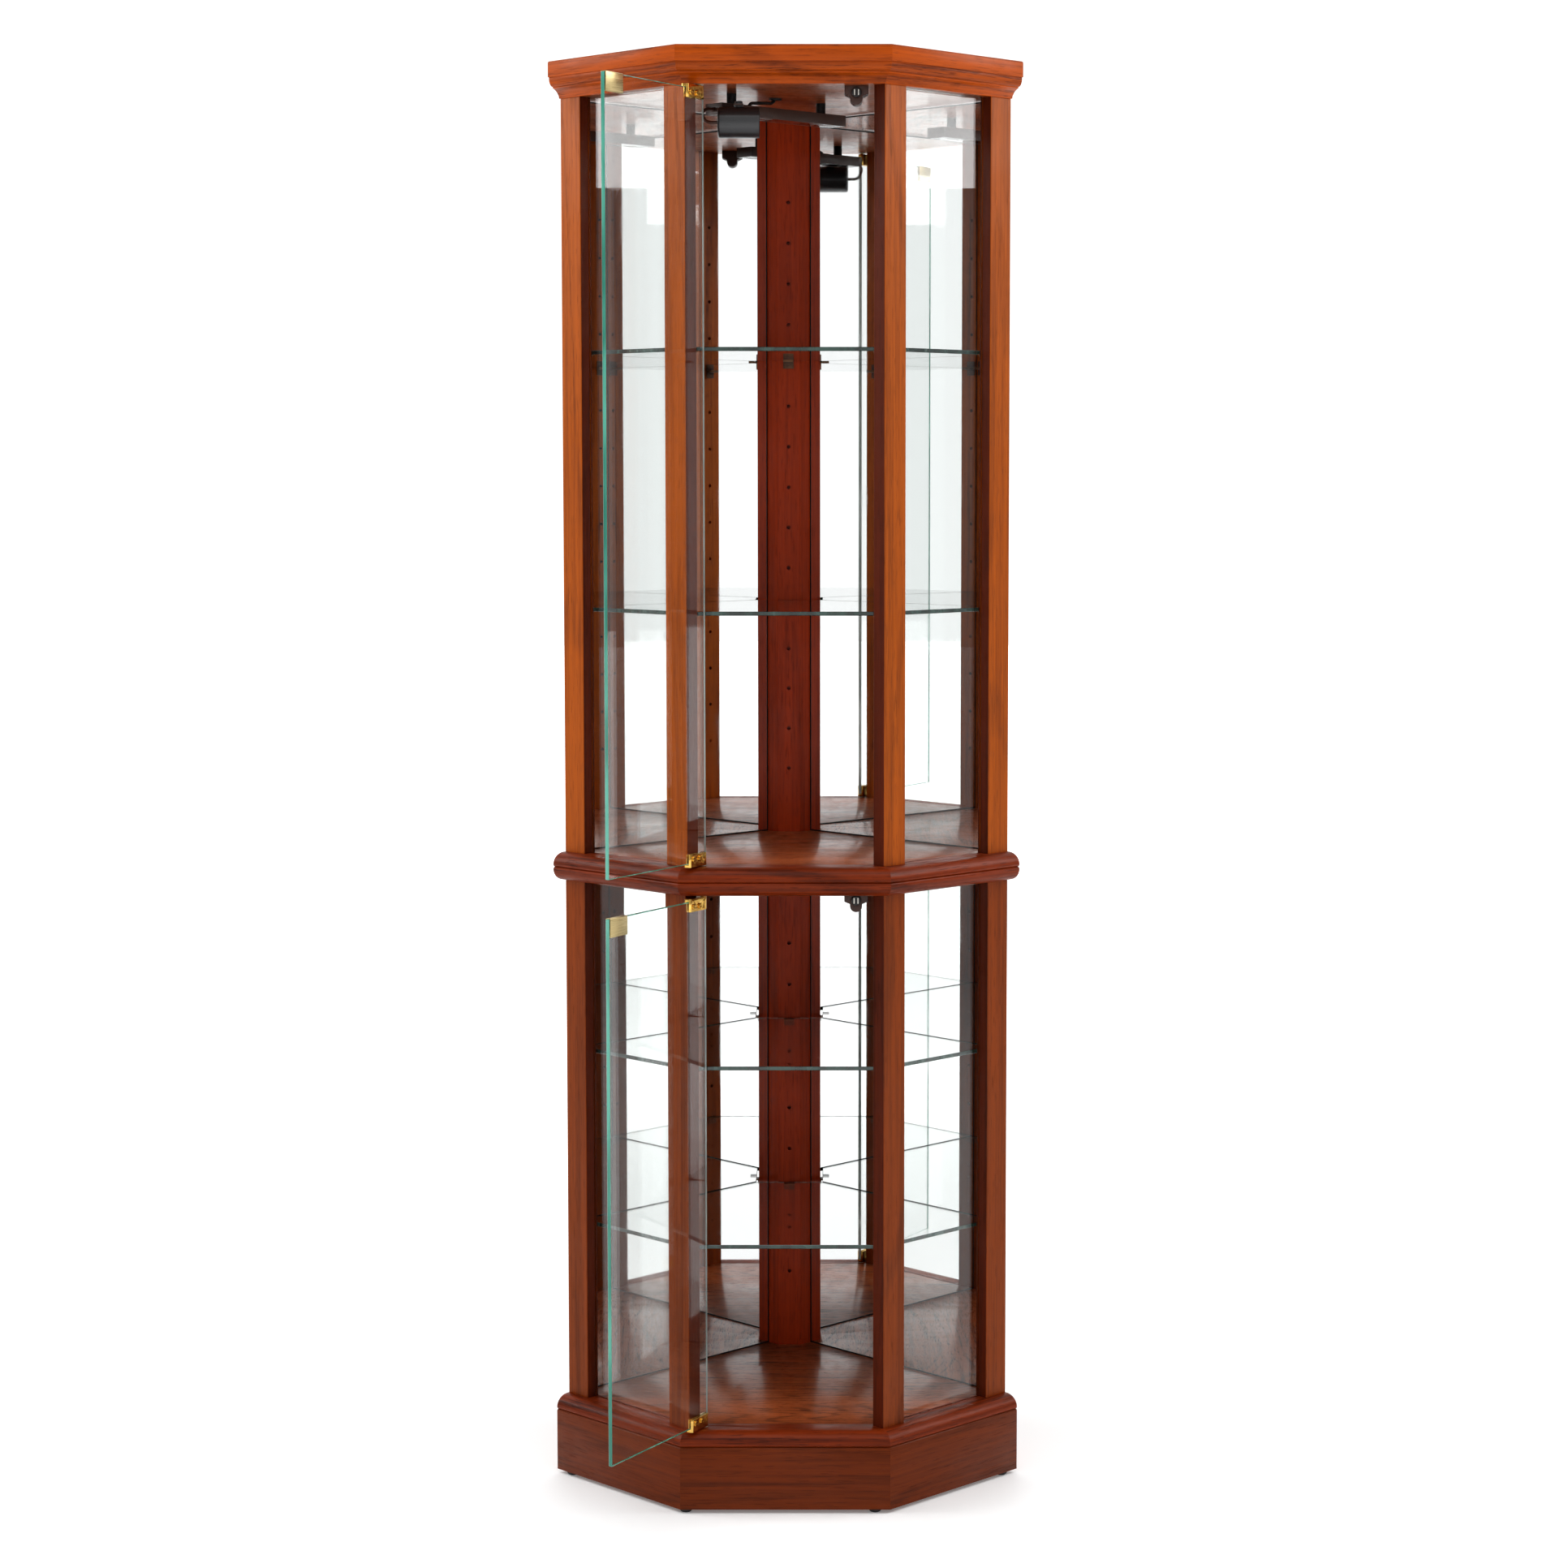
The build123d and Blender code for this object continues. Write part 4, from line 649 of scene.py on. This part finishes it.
def floor_finish():
    """The pale floor, with its glow."""
    material, tree, shader = new_material("studio_floor")
    place = object_coordinates(tree)
    clouds = noise(tree, place, 1.5, detail=3.0)
    tree.links.new(mix(tree, clouds, (0.86, 0.865, 0.87, 1), (0.9, 0.9, 0.9, 1)),
                   shader.inputs["Base Color"])
    tree.links.new(spread(tree, clouds, 0.3, 0.7, 0.55, 0.65), shader.inputs["Roughness"])
    parts = put(tree, "SeparateXYZ", {0: place})
    away = calc(tree, "ABSOLUTE", parts.outputs["Y"])
    tree.links.new(spread(tree, away, GLOW_START, GLOW_END, GLOW_NEAR, GLOW_FAR),
                   shader.inputs["Emission Strength"])
    shader.inputs["Emission Color"].default_value = (1, 1, 1, 1)
    return material


floor.data.materials.append(floor_finish())

# %% [markdown]
# ## Painting the CAD nodes
#
# A CAD node whose shape is already right only needs its finish. The record names a material
# slot for each node, so a table from slot to finish covers most of them. The panes are told
# face from edge by comparing each small area with the pane's largest one.

# %% One finish per slot
FINISH_OF_SLOT = {
    "stained_wood": POST_WOOD, "deck_veneer": VENEER, "hardboard": HARDBOARD, "beech": BEECH,
    "clear_glass": GLASS, "mirror": MIRROR, "polished_brass": BRASS,
    "brushed_brass": PALE_BRASS, "bronze_clips": BRONZE, "brown_plastic": BROWN_PLASTIC,
    "magnet": STEEL, "spring_steel": STEEL, "bronze_rail": RAIL_PAINT, "zinc_fixings": BLACKED,
    "black_can": BLACK_SATIN, "lamp_glass": LAMP_LENS, "black_cord": BLACK_FLEX,
    "brown_cord": BROWN_FLEX, "black_plastic": BLACK_PLASTIC, "nylon": NYLON,
}


# %% Painting
def finish_of(node):
    """The finish of a CAD node, from its slot."""
    # Painted shade: the corner posts take the darkened copy of the stain.
    if node.endswith("corner_post"):
        return CORNER_PAINTED_SHADE_WOOD
    # Painted shade: the lower posts take the darkened copy of the stain.
    if node.startswith("lower") and node.endswith("post"):
        return LOW_POST_PAINTED_SHADE
    return FINISH_OF_SLOT[slot_of_node[node]]


def paint(piece, material):
    """Gives a piece one finish all over."""
    piece.data.materials.clear()
    piece.data.materials.append(material)


FACE_LIKE = 0.95        # how nearly a face of the pane looks the way of its largest one


def paint_edges(piece, edge_finish):
    """Gives a second finish to whatever doesn't lie in the plane of a pane's faces."""
    normal = max(piece.data.polygons, key=lambda polygon: polygon.area).normal.copy()
    piece.data.materials.append(edge_finish)
    for polygon in piece.data.polygons:
        polygon.material_index = 0 if abs(polygon.normal.dot(normal)) > FACE_LIKE else 1


def paint_where(piece, finish, chosen):
    """Gives another finish to the small areas that a test chooses."""
    piece.data.materials.append(finish)
    for polygon in piece.data.polygons:
        if chosen(polygon):
            polygon.material_index = len(piece.data.materials) - 1


# %% Every node gets its finish
for node_name, node_object in nodes.items():
    paint(node_object, finish_of(node_name))
    if slot_of_node[node_name] == "clear_glass":
        paint_edges(node_object, DARK_EDGE if "shelf" in node_name else GREEN_EDGE)

# Painted shade: the faces that look into the doorway, and the corner posts' backs, get a darkened copy of the
# stain, as the side light hardly reaches them.
for module in MODULES:
    for side, way in (("left", 1), ("right", -1)):
        toward_door = Vector((way, -1, 0)).normalized()
        for place in ("front", "outer"):
            paint_where(nodes[f"{module}_{place}_{side}_post"], DOORWAY_PAINTED_SHADE,
                        lambda polygon, axis=toward_door: polygon.normal.dot(axis) > 0.9)
    paint_where(nodes[f"{module}_corner_post"], DOORWAY_PAINTED_SHADE, lambda polygon: polygon.normal.y > 0.3)

door_joint = next(joint for joint in frame["joints"] if joint["name"] == "upper_door_hinge")
door_angle = math.radians(-door_joint["range_deg"][0])
TOWARD_FREE_EDGE = Vector((math.cos(door_angle), -math.sin(door_angle), 0))
for module in MODULES:
    paint_where(nodes[f"{module}_door_glass"], PALE_EDGE,
                lambda polygon: polygon.normal.dot(TOWARD_FREE_EDGE) < -0.6)
print(len(nodes), "nodes painted")

# %% [markdown]
# ## Finer meshes from the CAD solids
#
# CAD edges are perfectly sharp, and real ones never are: without a small round they catch
# no light. For boards and fittings the mesh is copied from the node, its flat areas are
# merged, and a bevel of a fraction of a millimetre goes round every edge. Several solids in
# one node come apart here, so that each board gets its own direction of grain.


# %% Splitting and bevelling
def loose_parts(node):
    """The separate solids of a node, as bmeshes, from left to right.

    The faces of a solid follow one another in the mesh, so a solid ends where its surface
    closes. That holds even where two boards touch and share their corners.
    """
    mesh = nodes[node].data
    places = [tuple(round(c, 6) for c in vertex.co) for vertex in mesh.vertices]
    parts, open_edges, faces = [], set(), []
    for polygon in mesh.polygons:
        ring = [places[index] for index in polygon.vertices]
        faces.append(ring)
        for edge in zip(ring, ring[1:] + ring[:1]):
            if edge[::-1] in open_edges:
                open_edges.discard(edge[::-1])
            else:
                open_edges.add(edge)
        if not open_edges:
            parts.append(solid_of(faces))
            faces = []
    if faces:
        parts.append(solid_of(faces))
    return sorted(parts, key=lambda part: sum(v.co.x for v in part.verts) / len(part.verts))


def solid_of(faces):
    """A bmesh from rings of points, with equal points joined."""
    part = bmesh.new()
    corners = {}
    for ring in faces:
        for point in ring:
            if point not in corners:
                corners[point] = part.verts.new(point)
        part.faces.new([corners[point] for point in ring])
    return part


def settle(mesh, smooth_angle=35):
    """Smooth shading that stops at real edges."""
    mesh.polygons.foreach_set("use_smooth", [True] * len(mesh.polygons))
    mesh.set_sharp_from_angle(angle=math.radians(smooth_angle))


def applied(piece):
    """Turns a piece's modifiers into mesh."""
    bpy.context.view_layer.update()
    graph = bpy.context.evaluated_depsgraph_get()
    mesh = bpy.data.meshes.new_from_object(piece.evaluated_get(graph))
    piece.modifiers.clear()
    piece.data = mesh
    return piece


def add_piece(name, mesh, body, material, node=None):
    """Puts a mesh in the scene as a piece that rides on a body, and stands for a node."""
    piece = bpy.data.objects.new(name, mesh)
    scene.collection.objects.link(piece)
    paint(piece, material)
    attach(piece, body)
    if node:
        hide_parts(node)
    return piece


FLAT_WITHIN = math.radians(0.5)
SHARP_ABOVE = math.radians(35)


def softened(name, part, body, material, width, node):
    """A solid with its edges rounded, as a piece."""
    bmesh.ops.dissolve_limit(part, angle_limit=FLAT_WITHIN, verts=part.verts, edges=part.edges)
    mesh = bpy.data.meshes.new(name)
    part.to_mesh(mesh)
    part.free()
    piece = bpy.data.objects.new(name, mesh)
    scene.collection.objects.link(piece)
    bevel = piece.modifiers.new("soft_edges", "BEVEL")
    bevel.width = width
    bevel.segments = 2
    bevel.limit_method = "ANGLE"
    bevel.angle_limit = SHARP_ABOVE
    bevel.use_clamp_overlap = True
    mesh = applied(piece).data
    bpy.data.objects.remove(piece)
    mesh.name = name
    settle(mesh)
    return add_piece(name, mesh, body, material, node)


# %% [markdown]
# ### Mouldings and boards
#
# Each deck is a veneered core with three lengths of moulded edging. The four solids are told
# apart by where they are: the core and the front edging are in the middle, and the core is
# the larger.


# %% Mouldings, fascias and decks
WOOD_ROUND = 0.5 * MILLIMETRE

# The base fascias take the darkened copy of the stain: painted shade.
for side in HEADINGS:
    for node, wood in ((f"base_{side}_fascia", BASE_PAINTED_SHADE_WOOD), (f"crown_{side}", WOOD)):
        softened(f"{node}_board", loose_parts(node)[0], body_of_node[node], wood[side],
                 WOOD_ROUND, node)

for deck in ("lower_deck", "lower_top", "upper_deck"):
    left, *middle, right = loose_parts(deck)
    middle.sort(key=lambda part: max(v.co.y for v in part.verts))
    front_edge, core = middle
    body = body_of_node[deck]
    for side, part in (("left", left), ("front", front_edge), ("right", right)):
        softened(f"{deck}_edging_{side}", part, body, BAND_WOOD[side], WOOD_ROUND, deck)
    panel = softened(f"{deck}_panel", core, body, VENEER, WOOD_ROUND / 5, deck)
    paint_where(panel, HARDBOARD, lambda polygon: abs(polygon.normal.z) < 0.5)

for hand, part in zip(("left", "right"), loose_parts("base_back_rails")):
    softened(f"base_back_rail_{hand}", part, body_of_node["base_back_rails"], RAIL_WOOD[hand],
             WOOD_ROUND, "base_back_rails")

# %% [markdown]
# ### Metal fittings
#
# Hinge clamps, catch plates and clips are cut from bar and sheet, then tumbled, so their
# edges are round enough to sparkle. The rounds are in millimetres.

# %% Fittings with soft edges
FITTING_ROUNDS = {
    "lower_door_strike": 0.3, "upper_door_strike": 0.3,
    "lower_catch_housing": 0.5, "upper_catch_housing": 0.5,
    "lamp_bracket": 0.25, "junction_box": 0.6, "shelf_supports": 0.3,
}
for module in MODULES:
    for end in ("bottom", "top"):
        FITTING_ROUNDS[f"{module}_door_{end}_hinge"] = 0.45

for node, round_off in FITTING_ROUNDS.items():
    for number, part in enumerate(loose_parts(node), start=1):
        softened(f"{node}_{number}", part, body_of_node[node], finish_of(node),
                 round_off * MILLIMETRE, node)

# %% [markdown]
# ### The light
#
# The rail is a pressed housing with a strip of lights inside and a frosted lens across its
# mouth. The three solids are told apart by their height.

# %% Light rail and lamp
STRIP_WHITE = fitting("light_strip", srgb(232, 232, 226), srgb(214, 214, 208), (0.4, 0.5))


def height_of(part):
    """How tall a solid is."""
    levels = [vertex.co.z for vertex in part.verts]
    return max(levels) - min(levels)


rail_body = body_of_node["light_rail"]
strip, lens, housing = sorted(loose_parts("light_rail"), key=height_of)
softened("light_rail_housing", housing, rail_body, RAIL_PAINT, 0.35 * MILLIMETRE, "light_rail")
softened("light_rail_strip", strip, rail_body, STRIP_WHITE, 0.1 * MILLIMETRE, "light_rail")
softened("light_rail_lens", lens, rail_body, LENS, 0.4 * MILLIMETRE, "light_rail")

bulb = nodes["lamp_bulb"]
bulb_start, bulb_end = (corner.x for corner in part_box("lamp_bulb"))
HOLDER_LENGTH = 16.5 * MILLIMETRE
LENS_BAND = 2.0 * MILLIMETRE
paint_where(bulb, BLACK_PLASTIC, lambda polygon: polygon.center.x < bulb_start + HOLDER_LENGTH)
paint_where(bulb, REFLECTOR, lambda polygon: bulb_start + HOLDER_LENGTH < polygon.center.x
            < bulb_end - LENS_BAND)
print("bulb length", round((bulb_end - bulb_start) / MILLIMETRE, 1), "mm")

# %% [markdown]
# ### Cords and springs
#
# The lamp's lead joins the turning lamp to the fixed rail, and the catch springs shorten
# when a plunger is pushed in. Here each is copied from its node as a smooth-shaded piece
# that stays where it lies.


# %% The lead and the springs
def bent_between(name, node, mesh, material):
    """A piece made from a node's mesh, smooth-shaded and fixed where it lies, in place of the node."""
    piece = bpy.data.objects.new(name, mesh)
    scene.collection.objects.link(piece)
    paint(piece, material)
    settle(mesh)
    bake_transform(piece)
    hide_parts(node)
    return piece


def mesh_of(part, name):
    """A mesh from a solid, which is used up."""
    mesh = bpy.data.meshes.new(name)
    part.to_mesh(mesh)
    part.free()
    return mesh


# The lead is copied as it lies; the part away from the lamp stays clear of the closed door.
bent_between("lamp_lead_flex", "lamp_lead", mesh_of(loose_parts("lamp_lead")[0], "lamp_lead_flex"),
             BROWN_FLEX)

springs = sorted(loose_parts("catch_springs"), key=lambda part: max(v.co.z for v in part.verts))
for module, spring in zip(MODULES, springs):
    mesh = mesh_of(spring, f"{module}_catch_spring")
    low = [min(v.co[axis] for v in mesh.vertices) for axis in range(3)]
    high = [max(v.co[axis] for v in mesh.vertices) for axis in range(3)]
    middle = [(a + b) / 2 for a, b in zip(low, high)]
    bent_between(f"{module}_catch_spring_coil", "catch_springs", mesh,
                 STEEL)

CABLE_SMOOTH_ANGLE = 60
settle(nodes["light_cable"].data, CABLE_SMOOTH_ANGLE)

# %% [markdown]
# ### Mirror edges, magnet plates and panel pins
#
# Along its edges a mirror has no silver left, and where it meets the deck and the posts it
# sits in a shaded gap. A thin dark band round each mirror stands for both: partly the bare
# edge, partly painted shade. The plungers carry a magnet between two steel plates. On the
# back, the hardboard is held with a row of pins along every edge.


# %% Small additions
def boxes_mesh(name, boxes):
    """One mesh of boxes, each a corner and three edge vectors."""
    mesh = bpy.data.meshes.new(name)
    points, faces = [], []
    sides = ((0, 2, 3, 1), (4, 5, 7, 6), (0, 1, 5, 4), (2, 6, 7, 3), (0, 4, 6, 2), (1, 3, 7, 5))
    for corner, *edges in boxes:
        first = len(points)
        for code in range(8):
            points.append(Vector(corner) + sum((edge for bit, edge in enumerate(edges)
                                                if code >> bit & 1), Vector()))
        faces += [[first + index for index in side] for side in sides]
    mesh.from_pydata(points, [], faces)
    build = bmesh.new()
    build.from_mesh(mesh)
    bmesh.ops.recalc_face_normals(build, faces=build.faces)
    build.to_mesh(mesh)
    build.free()
    return mesh


UP = Vector((0, 0, 1))
INTO_CASE = {"left": Vector((1, -1, 0)).normalized(), "right": Vector((-1, -1, 0)).normalized()}
ALONG_WALL = {"left": Vector((-1, -1, 0)).normalized(), "right": Vector((1, -1, 0)).normalized()}
HIDDEN = 6.0 * MILLIMETRE       # how far a mirror reaches into the posts' rebates
BAND = 1.8 * MILLIMETRE
PROUD = 0.3 * MILLIMETRE
# The dark of the mirror edge bands, partly bare edge and partly painted shade; the plungers use it too.
MIRROR_BLACK = fitting("mirror_edge", srgb(26, 20, 18), srgb(14, 10, 9), (0.3, 0.45))


def wall_extent(node, side):
    """How far a sheet reaches along its wall, toward the case, and in height."""
    points = [vertex.co for vertex in nodes[node].data.vertices]
    spans = []
    for axis in (ALONG_WALL[side], INTO_CASE[side], UP):
        places = [point.dot(axis) for point in points]
        spans.append((min(places), max(places)))
    return spans


# A thin dark band on all four edges of each mirror: partly the bare edge, partly painted shade of the gap.
for module in MODULES:
    for side in INTO_CASE:
        node = f"{module}_mirror_{side}"
        (u0, u1), (_, front), (z0, z1) = wall_extent(node, side)
        along, inward = ALONG_WALL[side], INTO_CASE[side]
        u0, u1 = u0 + HIDDEN, u1 - HIDDEN

        def band(start, length, bottom, height):
            corner = along * start + inward * front + UP * bottom
            return (corner, along * length, inward * PROUD, UP * height)

        bands = [band(u0, u1 - u0, z0, BAND), band(u0, u1 - u0, z1 - BAND, BAND),
                 band(u0, BAND, z0, z1 - z0), band(u1 - BAND, BAND, z0, z1 - z0)]
        add_piece(f"{node}_edging", boxes_mesh(f"{node}_edging", bands), body_of_node[node],
                  MIRROR_BLACK)

PLATE = Vector((1.3, 0.05, 7.0)) * MILLIMETRE     # width, half its depth, height
PLATE_SPACING = 2.4 * MILLIMETRE
for module in MODULES:
    node = f"{module}_catch_plunger"
    low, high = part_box(node)
    middle = (low + high) / 2
    plates = []
    for way in (-1, 1):
        corner = (middle.x + way * PLATE_SPACING - PLATE.x / 2, low.y - PLATE.y,
                  middle.z - PLATE.z / 2)
        plates.append((corner, Vector((PLATE.x, 0, 0)), Vector((0, 2 * PLATE.y, 0)),
                       Vector((0, 0, PLATE.z))))
    add_piece(f"{module}_magnet_plates", boxes_mesh(f"{module}_magnet_plates", plates),
              body_of_node[node], STEEL)
    paint(nodes[node], MIRROR_BLACK)

PANEL_THICKNESS = 3.0 * MILLIMETRE
PIN_RADIUS = 2.0 * MILLIMETRE
PIN_HEIGHT = 0.7 * MILLIMETRE
PIN_SPACING = 0.14
PIN_INSET = 4.0 * MILLIMETRE


def pins_mesh(name, places):
    """Low round heads, each at a place and along an outward direction."""
    build = bmesh.new()
    for place, outward in places:
        turn = outward.to_track_quat("Z", "Y").to_matrix().to_4x4()
        bmesh.ops.create_cone(build, cap_ends=True, segments=12, radius1=PIN_RADIUS,
                              radius2=0.7 * PIN_RADIUS, depth=PIN_HEIGHT,
                              matrix=Matrix.Translation(place + outward * PIN_HEIGHT / 2) @ turn)
    mesh = bpy.data.meshes.new(name)
    build.to_mesh(mesh)
    build.free()
    return mesh


pin_places = []
for module in MODULES:
    for side in INTO_CASE:
        (u0, u1), (rear, _), (z0, z1) = wall_extent(f"{module}_mirror_{side}", side)
        rear -= PANEL_THICKNESS
        outward = -INTO_CASE[side]
        steps_up = round((z1 - z0) / PIN_SPACING)
        steps_along = round((u1 - u0) / PIN_SPACING)
        spots = [(u, z0 + PIN_INSET + (z1 - z0 - 2 * PIN_INSET) * step / steps_up)
                 for step in range(steps_up + 1) for u in (u0 + PIN_INSET, u1 - PIN_INSET)]
        spots += [(u0 + PIN_INSET + (u1 - u0 - 2 * PIN_INSET) * step / steps_along, z)
                  for step in range(1, steps_along) for z in (z0 + PIN_INSET, z1 - PIN_INSET)]
        pin_places += [(ALONG_WALL[side] * u + INTO_CASE[side] * rear + UP * z, outward)
                       for u, z in spots]
pins = pins_mesh("back_panel_pins", pin_places)
settle(pins)
add_piece("back_panel_pins", pins, "case", STEEL)
print(len(pin_places), "panel pins")
